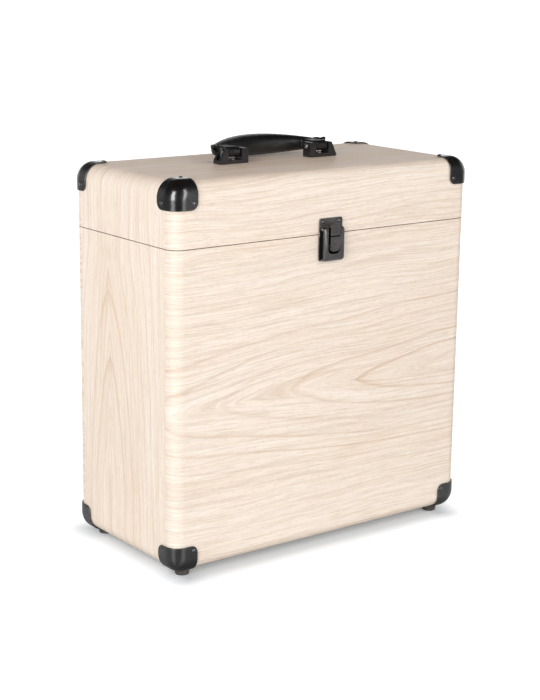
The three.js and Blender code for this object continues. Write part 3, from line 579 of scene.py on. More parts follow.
def black_paint(name, roughness, shade=(14, 14, 14), worn=None, coat_roughness=0.2, coat_ior=1.7):
    """Baked black lacquer: an orange-peel skin, faint dust and, where worn is given, bare rims."""
    material, shader, where = finish(name)
    peel = noise(where, 700, 2.0, 0.5, 1.0)
    cloud = noise(where, 60, 4.0, 0.6, 2.0)
    dark = srgb(*shade)
    dusty = tuple(value * 1.7 for value in dark[:3]) + (1,)
    colour = mixed(spread(cloud, 0.35, 0.7), dark, dusty)
    if worn:
        rim = node(material.node_tree, "ShaderNodeAttribute", attribute_name="rim").outputs["Fac"]
        chips = spread(noise(where, 420, 3.0, 0.7, 5.0), 0.42, 0.66)
        colour = mixed(times(rim, chips, 0.6), colour, srgb(*worn))
    wire(shader, {
        "Base Color": colour,
        "Roughness": spread(cloud, 0.3, 0.75, roughness - 0.05, roughness + 0.08),
        "Specular IOR Level": 0.9,
        "Coat Weight": 1.0,
        "Coat Roughness": coat_roughness,
        "Coat IOR": coat_ior,
    })
    bumped(shader, peel, 0.00004, 0.5)
    return material


protector_paint = black_paint("protector_paint", 0.26, worn=(96, 94, 92), coat_roughness=0.17)


def outside_case(x, y, z):
    """How far a point is outside the case's rounded form, in metres; inside it is below zero."""
    out_x, out_z = np.abs(x) - core_x, np.abs(z - case_middle) - core_z
    outline = np.hypot(np.maximum(out_x, 0), np.maximum(out_z, 0)) + np.minimum(np.maximum(out_x, out_z), 0)
    over_edge = np.maximum(outline - CORNER_RADIUS + EDGE_RADIUS, 0)
    over_face = np.maximum(np.abs(y) - half_depth + EDGE_RADIUS, 0)
    return np.hypot(over_edge, over_face) - EDGE_RADIUS


def pressed_out(start, directions, height):
    """Where rays from start, a point inside the case, meet the case's form grown by height."""
    near, far = np.full(len(directions), 0.1), np.full(len(directions), 1.7)
    for _ in range(40):
        middle = (near + far) / 2
        inside = outside_case(*(start + directions * middle[:, None]).T) < height
        near, far = np.where(inside, middle, near), np.where(inside, far, middle)
    return start + directions * near[:, None]


def tongue_stations(reach):
    """Places across a tongue, in metres from its end: close over its rounded corner, then wider."""
    first = np.linspace(0, TONGUE_RADIUS, TONGUE_STEPS)
    return np.concatenate([first, np.linspace(TONGUE_RADIUS, reach, SHELL_STEPS)[1:]])


def protector_shape(sides):
    """One shell, made of three tongues that meet at the corner, as outer and inner skins with a rim."""
    corner = sides * (np.array([half_width, half_depth, half_height]) - PROTECTOR_REACH)
    start = corner + [0, 0, case_middle]
    shape = bmesh.new()
    rim_layer = shape.verts.layers.float.new("rim")
    skins = []
    for height in (PROTECTOR_SKIN, PROTECTOR_CLEARANCE):
        made = {}
        rim_lines = []
        for axis in range(3):
            first, second = [k for k in range(3) if k != axis]
            stations = [tongue_stations(PROTECTOR_REACH[k]) for k in (first, second)]
            p, q = np.meshgrid(*stations, indexing="ij")
            at_rim = np.exp(-np.minimum(p, q) / WORN_RIM_WIDTH).ravel()
            to_p, to_q = TONGUE_RADIUS - p, TONGUE_RADIUS - q
            rounded = (to_p > 0) & (to_q > 0)
            length = np.where(rounded, np.hypot(to_p, to_q), 1)
            share = np.where(rounded, np.maximum(to_p, to_q) / length, 1)
            directions = np.zeros((p.size, 3))
            directions[:, axis] = PROTECTOR_REACH[axis]
            directions[:, first] = np.where(rounded, TONGUE_RADIUS - to_p * share, p).ravel()
            directions[:, second] = np.where(rounded, TONGUE_RADIUS - to_q * share, q).ravel()
            grid = np.empty(p.size, object)
            for i, point in enumerate(pressed_out(start, directions * sides, height)):
                key = tuple(np.round(point * 1e6).astype(int))
                if key not in made:
                    made[key] = shape.verts.new(point)
                    made[key][rim_layer] = at_rim[i]
                grid[i] = made[key]
            grid = grid.reshape(p.shape)
            for i, j in np.ndindex(p.shape[0] - 1, p.shape[1] - 1):
                shape.faces.new((grid[i, j], grid[i + 1, j], grid[i + 1, j + 1], grid[i, j + 1]))
            rim_lines += [grid[0, :], grid[:, 0]]
        skins.append(rim_lines)
    for outer, inner in zip(*skins):
        for i in range(len(outer) - 1):
            shape.faces.new((outer[i], outer[i + 1], inner[i + 1], inner[i]))
    bmesh.ops.recalc_face_normals(shape, faces=shape.faces)
    return shape


for level_name, side_z, body in (("bottom", -1, "body"), ("top", 1, "lid")):
    for row, side_y in ROWS:
        for side, side_x in SIDES:
            node_name = f"corner_{level_name}_{row}_{side}"
            shape = protector_shape((side_x, side_y, side_z))
            shell = as_piece(node_name + "_shell", shape, [protector_paint], SHARP_FROM)
            sharp = math.radians(SHARP_FROM)
            modify(shell, "BEVEL", width=RIM_ROUNDING, segments=2, limit_method="ANGLE", angle_limit=sharp)
            dress(shell, body, "black_metal", node_name)

# Corner nails: black round-headed nails, three to a protector. Under the case the foot's screw
# takes the place of the third. Their places are measured in from the case's faces.
NAIL_LEVEL = {"body": 0.0201, "lid": 0.0185}
NAIL_IN_FRONT = 0.0208
NAIL_AT_SIDE = 0.0155
NAIL_ON_TOP = (0.0208, 0.0193)
NAIL_HEAD_RADIUS = 0.0019
NAIL_HEAD_RISE = 0.0009
RAY_START = 0.03
SLOPE_STEP = 1e-5
HEAD_SIZES = ("Head radius", "Head rise", "Recess depth")


def head_tree(name, sizes, build_head):
    """A tree that sets a head on each point of a mesh, turned to the point's facing: sizes are its named
    inputs, and build_head makes the head, seated at height zero, from them."""
    tree = bpy.data.node_groups.new(name, "GeometryNodeTree")
    tree.interface.new_socket("Geometry", in_out="OUTPUT", socket_type="NodeSocketGeometry")
    for input_name, kind, value in (
        ("Geometry", "Geometry", None),
        *((size_name, "Float", size) for size_name, size in sizes.items()),
        ("Material", "Material", None),
        ("Seed", "Int", 7),
    ):
        socket = tree.interface.new_socket(input_name, in_out="INPUT", socket_type="NodeSocket" + kind)
        if value is not None:
            socket.default_value = value
    given = tree.nodes.new("NodeGroupInput").outputs
    head = build_head(tree, given)
    facing = node(tree, "GeometryNodeInputNamedAttribute", ["facing"], data_type="FLOAT_VECTOR")
    turned_out = node(tree, "FunctionNodeAlignRotationToVector", {"Vector": facing}, axis="Z")
    turns = {2: 0.0, 3: math.pi, "Seed": given["Seed"]}
    spin = node(tree, "FunctionNodeRandomValue", turns, data_type="FLOAT").outputs[1]
    spun = node(tree, "FunctionNodeAxisAngleToRotation", {"Axis": (0, 0, 1), "Angle": spin})
    way = node(tree, "FunctionNodeRotateRotation", [turned_out, spun], rotation_space="LOCAL")
    placing = {"Points": given["Geometry"], "Instance": head, "Rotation": way}
    heads = node(tree, "GeometryNodeInstanceOnPoints", placing)
    real = node(tree, "GeometryNodeRealizeInstances", [heads])
    painted = node(tree, "GeometryNodeSetMaterial", {"Geometry": real, "Material": given["Material"]})
    node(tree, "NodeGroupOutput", [painted])
    return tree


def settle(piece):
    """Turns a piece with its modifiers into a plain mesh."""
    bpy.context.view_layer.update()
    graph = bpy.context.evaluated_depsgraph_get()
    mesh = bpy.data.meshes.new_from_object(piece.evaluated_get(graph))
    piece.modifiers.clear()
    piece.data = mesh


def set_heads(name, tree, places, material, body, slot, sizes=(), replaced=()):
    """Runs a head tree over places, each a point and its facing, into one piece of body."""
    mesh = bpy.data.meshes.new(name)
    mesh.from_pydata([tuple(point) for point, _ in places], [], [])
    facing = mesh.attributes.new("facing", "FLOAT_VECTOR", "POINT")
    for i, (_, direction) in enumerate(places):
        facing.data[i].vector = direction
    made = new_object(name, mesh)
    modifier = made.modifiers.new("heads", "NODES")
    modifier.node_group = tree
    given = {"Material": material, **dict(zip(HEAD_SIZES, sizes))}
    for item in tree.interface.items_tree:
        if item.in_out == "INPUT" and item.name in given:
            modifier[item.identifier] = given[item.name]
    settle(made)
    made.data.shade_smooth()
    made.data.set_sharp_from_angle(angle=math.radians(40))
    dress(made, body, slot, *replaced)


def domed_head(tree, given):
    """A dome of the given radius and rise, its lower half sunk in what it fastens."""
    rounded = {"Segments": 20, "Rings": 12, "Radius": given["Head radius"]}
    ball = node(tree, "GeometryNodeMeshUVSphere", rounded)
    flat = math_node("DIVIDE", given["Head rise"], given["Head radius"])
    flattened = node(tree, "ShaderNodeCombineXYZ", [1.0, 1.0, flat])
    return node(tree, "GeometryNodeTransform", {"Geometry": ball, "Scale": flattened})


def case_skin(x, y, z, toward):
    """The point of a protector's outer skin over a place on the case, with the way it faces there."""
    toward = np.array(toward)
    rays = toward[None, :] * RAY_START
    point = pressed_out(np.array([x, y, z]) - rays[0], rays, PROTECTOR_SKIN)[0]
    slope = [outside_case(*(point + step)) - outside_case(*(point - step)) for step in np.eye(3) * SLOPE_STEP]
    return point, Vector(slope).normalized()


nail_sizes = {"Head radius": NAIL_HEAD_RADIUS, "Head rise": NAIL_HEAD_RISE}
nail_tree = head_tree("round nail heads", nail_sizes, domed_head)
nail_paint = black_paint("nail_paint", 0.16, (24, 24, 25), coat_roughness=0.1, coat_ior=2.4)
for body, side_z in (("body", -1), ("lid", 1)):
    places = []
    for side_x in (-1, 1):
        for side_y in (-1, 1):
            x, y = side_x * half_width, side_y * half_depth
            z = case_middle + side_z * (half_height - NAIL_LEVEL[body])
            places.append(case_skin(x - side_x * NAIL_IN_FRONT, y, z, (0, side_y, 0)))
            places.append(case_skin(x, y - side_y * NAIL_AT_SIDE, z, (side_x, 0, 0)))
            if body == "lid":
                x, y = x - side_x * NAIL_ON_TOP[0], y - side_y * NAIL_ON_TOP[1]
                places.append(case_skin(x, y, case_top, (0, 0, 1)))
    set_heads(f"{body}_corner_nails", nail_tree, places, nail_paint, body, "black_metal")

# Feet: four turned rubber feet, slightly tapered, each held by a screw deep in its recess.
FOOT_TAPER = 0.0005
FOOT_COLLAR = 0.0012
FOOT_ROUNDING = 0.0009
FOOT_ROUNDING_STEPS = 4
RECESS_RADIUS = 0.0036
RECESS_HEIGHT = 0.0032
RECESS_CHAMFER = 0.0004

rubber, shader, where = finish("rubber")
grit = noise(where, 1500, 2.0, 0.6)
scuff = noise(where, (160, 160, 90), 4.0, 0.65, 3.0)
colour = mixed(spread(scuff, 0.5, 0.8), srgb(82, 77, 73), srgb(110, 104, 99))
roughness = spread(scuff, 0.3, 0.7, 0.55, 0.8)
wire(shader, {"Base Color": colour, "Roughness": roughness, "Specular IOR Level": 0.3})
bumped(shader, grit, 0.00008, 0.6)


def turned_shape(profile, middle=(0, 0), steps=40):
    """A form turned about an upright axis: a profile of radius and height, closed at both ends."""
    shape = bmesh.new()
    rows = []
    for radius, height in profile:
        rows.append([])
        for i in range(steps if radius else 1):
            turn = 2 * math.pi * i / steps
            x, y = middle[0] + radius * math.cos(turn), middle[1] + radius * math.sin(turn)
            rows[-1].append(shape.verts.new((x, y, height)))
    for first, second in zip(rows, rows[1:]):
        for i in range(steps):
            places = ((first, i), (first, i + 1), (second, i + 1), (second, i))
            corners = [row[k % len(row)] for row, k in places]
            shape.faces.new(list(dict.fromkeys(corners)))
    bmesh.ops.recalc_face_normals(shape, faces=shape.faces)
    return shape


for row, _ in ROWS:
    for side, _ in SIDES:
        low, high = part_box(f"foot_{row}_{side}")
        middle = (low + high) / 2
        radius = (high.y - low.y) / 2
        recess_top = low.z + RECESS_HEIGHT
        profile = [(0, recess_top), (RECESS_RADIUS, recess_top), (RECESS_RADIUS, low.z + RECESS_CHAMFER)]
        profile.append((RECESS_RADIUS + RECESS_CHAMFER, low.z))
        for step in range(FOOT_ROUNDING_STEPS + 1):
            turn = step / FOOT_ROUNDING_STEPS * math.pi / 2
            out = radius - FOOT_TAPER - FOOT_ROUNDING * (1 - math.sin(turn))
            profile.append((out, low.z + FOOT_ROUNDING * (1 - math.cos(turn))))
        profile += [(radius, high.z - FOOT_COLLAR), (radius, high.z), (0, high.z)]
        foot = as_piece(f"foot_{row}_{side}_rubber", turned_shape(profile, middle.xy), [rubber])
        dress(foot, "body", "rubber", f"foot_{row}_{side}")

# Toggle latch: pressed steel painted black. A strike is riveted to the lid and a base to the body;
# the lever is a hollow bevelled frame on two pivots, and the hook hangs on a pin in the lever.
# UP and DOWN are heights from the seam, and a side outline is a list of y and z.
LATCH_EDGE = 0.0006
PLATE_THICKNESS = 0.0012
PLATE_CORNER = 0.0025
PLATE_FROM_SEAM = 0.0006
PIVOT_OUT, PIVOT_UP = 0.0038, 0.0046
RIDGE_HALF = 0.005
RIDGE_UP = 0.0044
RIDGE_BELOW_HOOK = 0.0022
EAR_FROM_LEVER_SIDE = 0.0029
EAR_HALF = 0.0011
EAR_HEIGHT = 0.0055
EAR_EDGE = 0.0002
EAR_ROUND_PIVOT = ((0.0012, 0), (0, 0.0012), (-0.0011, 0.0012), (-0.0017, 0), (-0.0017, -0.0017))
BASE_PAINTED_SHADE_HALF = 0.0125
LEVER_BEVEL = 0.0022
LEVER_BREAK = (0.0009, 0.0006)
LEVER_CORNER = 0.003
SLOT_HALF, SLOT_DOWN, SLOT_CORNER = 0.0068, 0.0178, 0.0044
EAR_SLOT_HALF, EAR_SLOT_DOWN, EAR_SLOT_DEPTH = 0.0014, 0.007, 0.002
HOOK_PIN_DROP = 0.0154
HOOK_EDGE = 0.0007
HOOK_SIDE_GAP = 0.0003
HOOK_THICKNESS = 0.0015
HOOK_CORNERS = (0.0036, 0.0024)
HOOK_EYE_RADIUS, HOOK_EYE_NECK = 0.0019, 0.0018
CLAW_INSET = 0.0023
CLAW_THICKNESS, CLAW_TIP = 0.0019, 0.001
IN_HOOK = 0.0003
NECK_FROM_SIDE, NECK_IN_HOOK = 0.0001, 0.0004
GROOVE_DOWN, GROOVE_HALF, GROOVE_DEPTH = 0.0014, 0.0006, 0.0011
LATCH_SHARP_FROM = 55
SLOT_MARGIN = 0.0004
LEVER_SKIN = 0.001
GROOVE_MARGIN = 0.0002
FACES_SIDEWAYS = 0.85
CUT_PAST = 0.005
CUT_HALF = 0.02
ARC_STEPS = 6

latch_paint = black_paint("latch_paint", 0.26, (66, 62, 62))

# Painted shade: a near-black matte paint laid where shade falls, in the latch's slot, groove and gaps, behind
# the lever and on its sides.
painted_shade_paint, shader, where = finish("painted_shade_paint")
dust = noise(where, 900, 3.0, 0.7, 6.0)
colour = mixed(spread(dust, 0.5, 0.8), srgb(5, 5, 5), srgb(16, 15, 14))
wire(shader, {"Base Color": colour, "Roughness": 0.9, "Specular IOR Level": 0.15})
bumped(shader, dust, 0.00005, 0.5)


def paint_shade(piece, is_shaded):
    """Gives painted shade, a dark matte paint, to the faces whose middle lies where shade falls."""
    piece.data.materials.append(painted_shade_paint)
    for face in piece.data.polygons:
        if is_shaded(face.center, face.normal):
            face.material_index = len(piece.data.materials) - 1


def polygon(points):
    """A closed outline through points x, z, radius, each corner rounded by its radius."""
    made = []
    for i, (x, z, radius) in enumerate(points):
        here = Vector((x, z))
        back = (Vector(points[i - 1][:2]) - here).normalized()
        onward = (Vector(points[(i + 1) % len(points)][:2]) - here).normalized()
        if radius <= 0:
            made.append(here)
            continue
        half_angle = back.angle(onward) / 2
        reach = radius / math.tan(half_angle)
        centre = here + (back + onward).normalized() * radius / math.sin(half_angle)
        start, end = here + back * reach - centre, here + onward * reach - centre
        for step in range(ARC_STEPS + 1):
            turn = -start.angle_signed(end) * step / ARC_STEPS
            made.append(centre + Matrix.Rotation(turn, 2) @ start)
    return made


def plate_outline(half, low, high, low_radius, high_radius):
    """A rectangle, half wide to each side, from low to high, with rounded corners."""
    bottom = [(-half, low, low_radius), (half, low, low_radius)]
    return polygon(bottom + [(half, high, high_radius), (-half, high, high_radius)])


def carried(side_outline, x0, x1):
    return lofted([[(x, y, z) for y, z in side_outline] for x in (x0, x1)])


def block(x0, x1, y0, y1, z0, z1):
    return carried([(y0, z0), (y1, z0), (y1, z1), (y0, z1)], x0, x1)


def rod_along_x(radius, x0, x1, y, z, steps=32):
    shape = turned_shape([(0, x0), (radius, x0), (radius, x1), (0, x1)], steps=steps)
    turned_over = Matrix.Translation((0, y, z)) @ Matrix.Rotation(math.pi / 2, 4, "Y")
    bmesh.ops.transform(shape, verts=shape.verts, matrix=turned_over)
    bmesh.ops.recalc_face_normals(shape, faces=shape.faces)
    return shape


def combine(piece, shape, operation):
    """Joins another form to a piece, or cuts it away."""
    other = as_piece("tool", shape, [])
    modify(piece, "BOOLEAN", object=other, operation=operation, solver="EXACT")
    settle(piece)
    bpy.data.objects.remove(other)


def soften(piece, width, segments=1, angle=40):
    """Rounds the sharp edges of a piece and shades it smooth."""
    sharp = {"limit_method": "ANGLE", "angle_limit": math.radians(angle)}
    modify(piece, "BEVEL", width=width, segments=segments, harden_normals=True, **sharp)
    settle(piece)


strike_low, strike_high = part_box("latch_strike")
lever_low, lever_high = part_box("latch_lever")
hook_low, hook_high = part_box("latch_hook")
plate_back = strike_high.y
plate_face = plate_back - PLATE_THICKNESS
pivot_y, pivot_z = -half_depth - PIVOT_OUT, seam + PIVOT_UP
hook_pivot_z = pivot_z - HOOK_PIN_DROP
lever_cut_back, lever_cut_top = lever_high.y + CUT_PAST, lever_high.z + CUT_PAST


def plate(name, z0, z1):
    outline = plate_outline(strike_high.x, z0, z1, PLATE_CORNER, PLATE_CORNER)
    return as_piece(name, slab(outline, plate_face, plate_back), [latch_paint])


strike = plate("latch_strike_plate", seam + PLATE_FROM_SEAM, strike_high.z)
ridge_bottom, ridge_top = seam + RIDGE_UP, hook_high.z - RIDGE_BELOW_HOOK
ridge = [(plate_back, ridge_bottom), (plate_face, ridge_bottom)]
ridge += [(strike_low.y, (ridge_bottom + ridge_top) / 2), (strike_low.y, ridge_top), (plate_back, ridge_top)]
combine(strike, carried(ridge, -RIDGE_HALF, RIDGE_HALF), "UNION")
soften(strike, LATCH_EDGE)
dress(strike, "lid", "black_metal", "latch_strike")

base_top = seam - PLATE_FROM_SEAM
ear_bottom = base_top - EAR_HEIGHT
ear = [(plate_back, ear_bottom), (plate_back, base_top), (plate_face, base_top)]
ear += [(pivot_y + y, pivot_z + z) for y, z in EAR_ROUND_PIVOT] + [(plate_face, ear_bottom)]
ears = [side_x * (lever_high.x - EAR_FROM_LEVER_SIDE) for side_x in (-1, 1)]
base = plate("latch_base_plate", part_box("latch_base")[0].z, base_top)
for x in ears:
    combine(base, carried(ear, x - EAR_HALF, x + EAR_HALF), "UNION")
soften(base, EAR_EDGE)
# Painted shade on the base plate between the ears, behind the lever.
paint_shade(base, lambda place, way: abs(place.x) < BASE_PAINTED_SHADE_HALF)
dress(base, "body", "black_metal", "latch_base")

rows = []
for y, inset in (
    (lever_high.y, 0),
    (lever_low.y + LEVER_BEVEL, 0),
    (lever_low.y + LEVER_BREAK[0], LEVER_BREAK[1]),
    (lever_low.y, LEVER_BEVEL),
):
    radius = LEVER_CORNER - inset / 2
    outline = plate_outline(lever_high.x - inset, lever_low.z + inset, lever_high.z - inset, radius, radius)
    rows.append(at_depth(outline, y))
lever = as_piece("latch_lever_frame", lofted(rows), [latch_paint])
slot_floor = seam - SLOT_DOWN
slot = plate_outline(SLOT_HALF, slot_floor, lever_cut_top, SLOT_CORNER, 0)
combine(lever, slab(slot, lever_low.y - CUT_PAST, lever_cut_back), "DIFFERENCE")
for x in ears:
    ear_slot = (pivot_y - EAR_SLOT_DEPTH, lever_cut_back, seam - EAR_SLOT_DOWN, lever_cut_top)
    combine(lever, block(x - EAR_SLOT_HALF, x + EAR_SLOT_HALF, *ear_slot), "DIFFERENCE")
swept = as_piece("swept", block(-CUT_HALF, CUT_HALF, pivot_y, lever_cut_back, pivot_z, lever_cut_top), [])
clear_radius = plate_face - HOOK_SIDE_GAP - pivot_y
combine(swept, rod_along_x(clear_radius, -1.05 * CUT_HALF, 1.05 * CUT_HALF, pivot_y, pivot_z), "DIFFERENCE")
swept_shape = bmesh.new()
swept_shape.from_mesh(swept.data)
bpy.data.objects.remove(swept)
combine(lever, swept_shape, "DIFFERENCE")
soften(lever, LATCH_EDGE, angle=LATCH_SHARP_FROM)
# Painted shade on the walls of the lever's slot and the faces behind them.
paint_shade(lever, lambda place, way: (
    place.y > lever_low.y + LEVER_SKIN
    and abs(place.x) < SLOT_HALF + SLOT_MARGIN
    and place.z > slot_floor - SLOT_MARGIN
))
# Painted shade on the lever's outer sides, which face sideways, to keep them dark.
lever_side = lever_high.x - LEVER_SKIN
paint_shade(lever, lambda place, way: abs(way.x) > FACES_SIDEWAYS and abs(place.x) > lever_side)
dress(lever, "latch_lever", "black_metal", "latch_lever")

hook_half = hook_high.x - HOOK_SIDE_GAP
hook_back = hook_low.y + HOOK_THICKNESS
hook_outline = plate_outline(hook_half, hook_low.z, hook_high.z, *HOOK_CORNERS)
hook = as_piece("latch_hook_plate", slab(hook_outline, hook_low.y, hook_back), [latch_paint])
claw_front, claw_bottom = hook_low.y + IN_HOOK, hook_high.z - CLAW_THICKNESS
claw = [(claw_front, claw_bottom), (lever_high.y, claw_bottom), (lever_high.y, hook_high.z - CLAW_TIP)]
claw += [(hook_back, hook_high.z), (claw_front, hook_high.z)]
combine(hook, carried(claw, CLAW_INSET - hook_half, hook_half - CLAW_INSET), "UNION")
combine(hook, rod_along_x(HOOK_EYE_RADIUS, -hook_half, hook_half, pivot_y, hook_pivot_z), "UNION")
neck_half = hook_half - NECK_FROM_SIDE
neck = (hook_back - NECK_IN_HOOK, pivot_y, hook_pivot_z - HOOK_EYE_NECK, hook_pivot_z + HOOK_EYE_NECK)
combine(hook, block(-neck_half, neck_half, *neck), "UNION")
soften(hook, HOOK_EDGE, angle=LATCH_SHARP_FROM)
groove = seam - GROOVE_DOWN
groove_cut = (hook_low.y - CUT_PAST, hook_low.y + GROOVE_DEPTH, groove - GROOVE_HALF, groove + GROOVE_HALF)
combine(hook, block(-CUT_HALF, CUT_HALF, *groove_cut), "DIFFERENCE")
if "custom_normal" in hook.data.attributes:
    hook.data.attributes.remove(hook.data.attributes["custom_normal"])
hook.data.set_sharp_from_angle(angle=math.radians(30))
# Painted shade in the groove across the hook.
groove_half, groove_mouth = GROOVE_HALF + GROOVE_MARGIN, hook_low.y + GROOVE_MARGIN
paint_shade(hook, lambda place, way: abs(place.z - groove) < groove_half and place.y > groove_mouth)
dress(hook, "latch_hook", "black_metal", "latch_hook")

# Rivets and screws of the latch and hinges: flat-domed black rivets on the strike and base, and
# cross-recessed pan-head screws in the hinge leaves. Head sizes are radius, rise and recess depth.
RIVET_HEAD = (0.0017, 0.0008)
HINGE_SCREW_HEAD = (0.0025, 0.0011, 0.0009)
FOOT_SCREW_HEAD = (0.003, 0.0015, 0.0013)
HANDLE_SCREW_HEAD = (0.0028, 0.0014, 0.0012)
PIN_HEAD = (0.0022, 0.0009)
RECESS_WIDTH = 0.00055
RECESS_LENGTH = 1.15


def crossed_head(tree, given):
    """A domed head with a cross recess."""
    head = domed_head(tree, given)
    width, length = given["Recess width"], times(given["Head radius"], RECESS_LENGTH)
    lift = node(tree, "ShaderNodeCombineXYZ", [0.0, 0.0, given["Head rise"]])
    for sides in ((length, width), (width, length)):
        size = node(tree, "ShaderNodeCombineXYZ", [*sides, given["Recess depth"]])
        bar = node(tree, "GeometryNodeMeshCube", {"Size": size})
        cutter = node(tree, "GeometryNodeTransform", {"Geometry": bar, "Translation": lift})
        forms = {"Mesh 1": head, "Mesh 2": cutter}
        head = node(tree, "GeometryNodeMeshBoolean", forms, operation="DIFFERENCE")
    return head


def head_seat(node_name, axis, side, below=0.0):
    """The place on a fastener's own axis, below its outer end, on which its head stands, and its facing."""
    low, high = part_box(node_name)
    place, facing = (low + high) / 2, Vector((0, 0, 0))
    place[axis] = (high if side > 0 else low)[axis] - side * below
    facing[axis] = side
    return place, facing


def head_fasteners(name, tree, names, axis, side, finished, body, sizes):
    """Heads for the frame's own fasteners, which point along an axis, to one side."""
    places = [head_seat(node_name, axis, side, sizes[1]) for node_name in names]
    set_heads(name, tree, places, finished[0], body, finished[1], sizes, names)


BLACKENED = (nail_paint, "black_metal")
screw_sizes = {**dict(zip(HEAD_SIZES, HINGE_SCREW_HEAD)), "Recess width": RECESS_WIDTH}
screw_tree = head_tree("cross-recessed heads", screw_sizes, crossed_head)
for body, names in (
    ("lid", ["latch_strike_rivet_left", "latch_strike_rivet_right"]),
    ("body", ["latch_base_rivet_upper", "latch_base_rivet_lower"]),
):
    head_fasteners(f"{body}_latch_rivets", nail_tree, names, 1, -1, BLACKENED, body, RIVET_HEAD)
for body in ("body", "lid"):
    names = [f"hinge_{side}_{body}_screw_{end}" for side, _ in SIDES for end in ("inner", "outer")]
    head_fasteners(f"{body}_hinge_screws", screw_tree, names, 1, 1, BLACKENED, body, HINGE_SCREW_HEAD)

# Bright zinc plate on the foot screws, bracket screws and all pins.
bright, shader, where = finish("bright_zinc")
brushed = noise(where, (300, 3000, 3000), 3.0, 0.6)
colour = mixed(brushed, srgb(168, 168, 170), srgb(214, 213, 210))
wire(shader, {"Base Color": colour, "Metallic": 1.0, "Roughness": spread(brushed, 0.3, 0.7, 0.22, 0.4)})
bumped(shader, brushed, 0.00003, 0.5)
PLATED = (bright, "bright_metal")

names = [f"foot_screw_{row}_{side}" for row, _ in ROWS for side, _ in SIDES]
head_fasteners("foot_screw_heads", screw_tree, names, 2, -1, PLATED, "body", FOOT_SCREW_HEAD)

# Hinges and pins: the frame's own solids have the right shape, so they get only their finish, black
# paint on the leaves and zinc on all pins and pivots.
hinge_paint = black_paint("hinge_paint", 0.26)
painted = [f"hinge_{side}_{body}_leaf" for side, _ in SIDES for body in ("body", "lid")]
plated = [kind + side for kind in ("latch_pivot_", "handle_pin_") for side, _ in SIDES]
plated += ["latch_hook_pin", "hinge_left_pin", "hinge_right_pin"]
for names, material in ((painted, hinge_paint), (plated, bright)):
    for name in names:
        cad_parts[name].data.materials.clear()
        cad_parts[name].data.materials.append(material)

# Handle brackets: moulded black plastic with a window for the barrel, a sloping outer foot with a
# pocket for its screw, and soft edges. Window and cheek are measured out from the inner end.
BRACKET_EDGE = 0.0009
WINDOW = (0.0072, 0.0221)
WINDOW_SILL = 0.0032
OUTER_CHEEK = 0.0036
OUTER_FOOT = 0.0026
CHEEK_ROUNDING = 0.0014
SLOPE_ROUNDING = 0.0016
SILL_ROUNDING = 0.0004
POCKET_RADIUS = 0.0033
POCKET_FLOOR = 0.0022
POCKET_PAST = 0.01

bracket_plastic, shader, where = finish("bracket_plastic")
texture = noise(where, 1300, 2.0, 0.6)
handled = noise(where, 70, 4.0, 0.6, 6.0)
wire(shader, {
    "Base Color": mixed(spread(handled, 0.35, 0.7), srgb(22, 22, 24), srgb(32, 32, 35)),
    "Roughness": spread(handled, 0.3, 0.7, 0.28, 0.38),
    "Specular IOR Level": 0.5,
    "Coat Weight": 0.5,
    "Coat Roughness": 0.15,
})
bumped(shader, texture, 0.00005, 0.5)

for side, side_x in SIDES:
    low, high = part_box(f"handle_bracket_{side}")
    inner, outer = (high.x, low.x) if side_x < 0 else (low.x, high.x)
    window_in, window_out = [inner + side_x * reach for reach in WINDOW]
    sill, pocket_floor, pocket_top = low.z + WINDOW_SILL, low.z + POCKET_FLOOR, high.z + POCKET_PAST
    screws = [f"handle_screw_{side}_{end}" for end in ("inner", "outer")]
    outline = polygon([
        (inner, low.z, 0),
        (inner, high.z, CHEEK_ROUNDING),
        (window_in, high.z, CHEEK_ROUNDING),
        (window_in, sill, SILL_ROUNDING),
        (window_out, sill, SILL_ROUNDING),
        (window_out, high.z, CHEEK_ROUNDING),
        (window_out + side_x * OUTER_CHEEK, high.z, SLOPE_ROUNDING),
        (outer, low.z + OUTER_FOOT, CHEEK_ROUNDING),
        (outer, low.z, 0),
    ])
    bracket = as_piece(f"handle_bracket_{side}_moulding", slab(outline, low.y, high.y), [bracket_plastic])
    pocket = [(0, pocket_floor), (POCKET_RADIUS, pocket_floor), (POCKET_RADIUS, pocket_top), (0, pocket_top)]
    combine(bracket, turned_shape(pocket, (head_seat(screws[1], 2, 1)[0].x, 0)), "DIFFERENCE")
    soften(bracket, BRACKET_EDGE, 3)
    dress(bracket, "lid", "black_plastic", f"handle_bracket_{side}")
    head_fasteners(f"handle_{side}_screw_heads", screw_tree, screws, 2, 1, PLATED, "lid", HANDLE_SCREW_HEAD)

places = [head_seat(f"handle_pin_{side}", 0, end) for side, _ in SIDES for end in (-1, 1)]
set_heads("handle_pin_heads", nail_tree, places, bright, "lid", "bright_metal", PIN_HEAD)

# Grip: one moulding over a steel strip, in black grained leathercloth: a bowed bar with a nub at
# each tip, and from each shoulder a neck to the barrel that turns in the bracket.
GRIP_VOXEL = 0.00065
GRIP_POINTS = 40
BAR_STATIONS = 60
SQUARENESS = 2.4
LEATHER_JITTER = (0.0012, 0.0012, 0.0012)
TIP_LENGTH, TIP_TUCK, TIP_RISE = 0.009, 0.0074, 0.0047
SHOULDER_REACH, BAR_REACH = 0.0175, 0.0368
SHOULDER_HALF, BAR_HALF_WIDE = 0.005, 0.0124
BARREL_MIDDLE, BARREL_RADIUS, BARREL_HALF = 0.0511, 0.005, 0.0067
BARREL_STEPS = 48
NECK_HALF = 0.0046
NECK_IN_BAR = 0.004
NUB_SIZES = (
    (0, 0.0008), (0.0005, 0.0018), (0.0014, 0.0023), (0.0038, 0.0023), (0.0045, 0.0031), (0.0060, 0.0043),
    (0.0075, 0.0049),
)

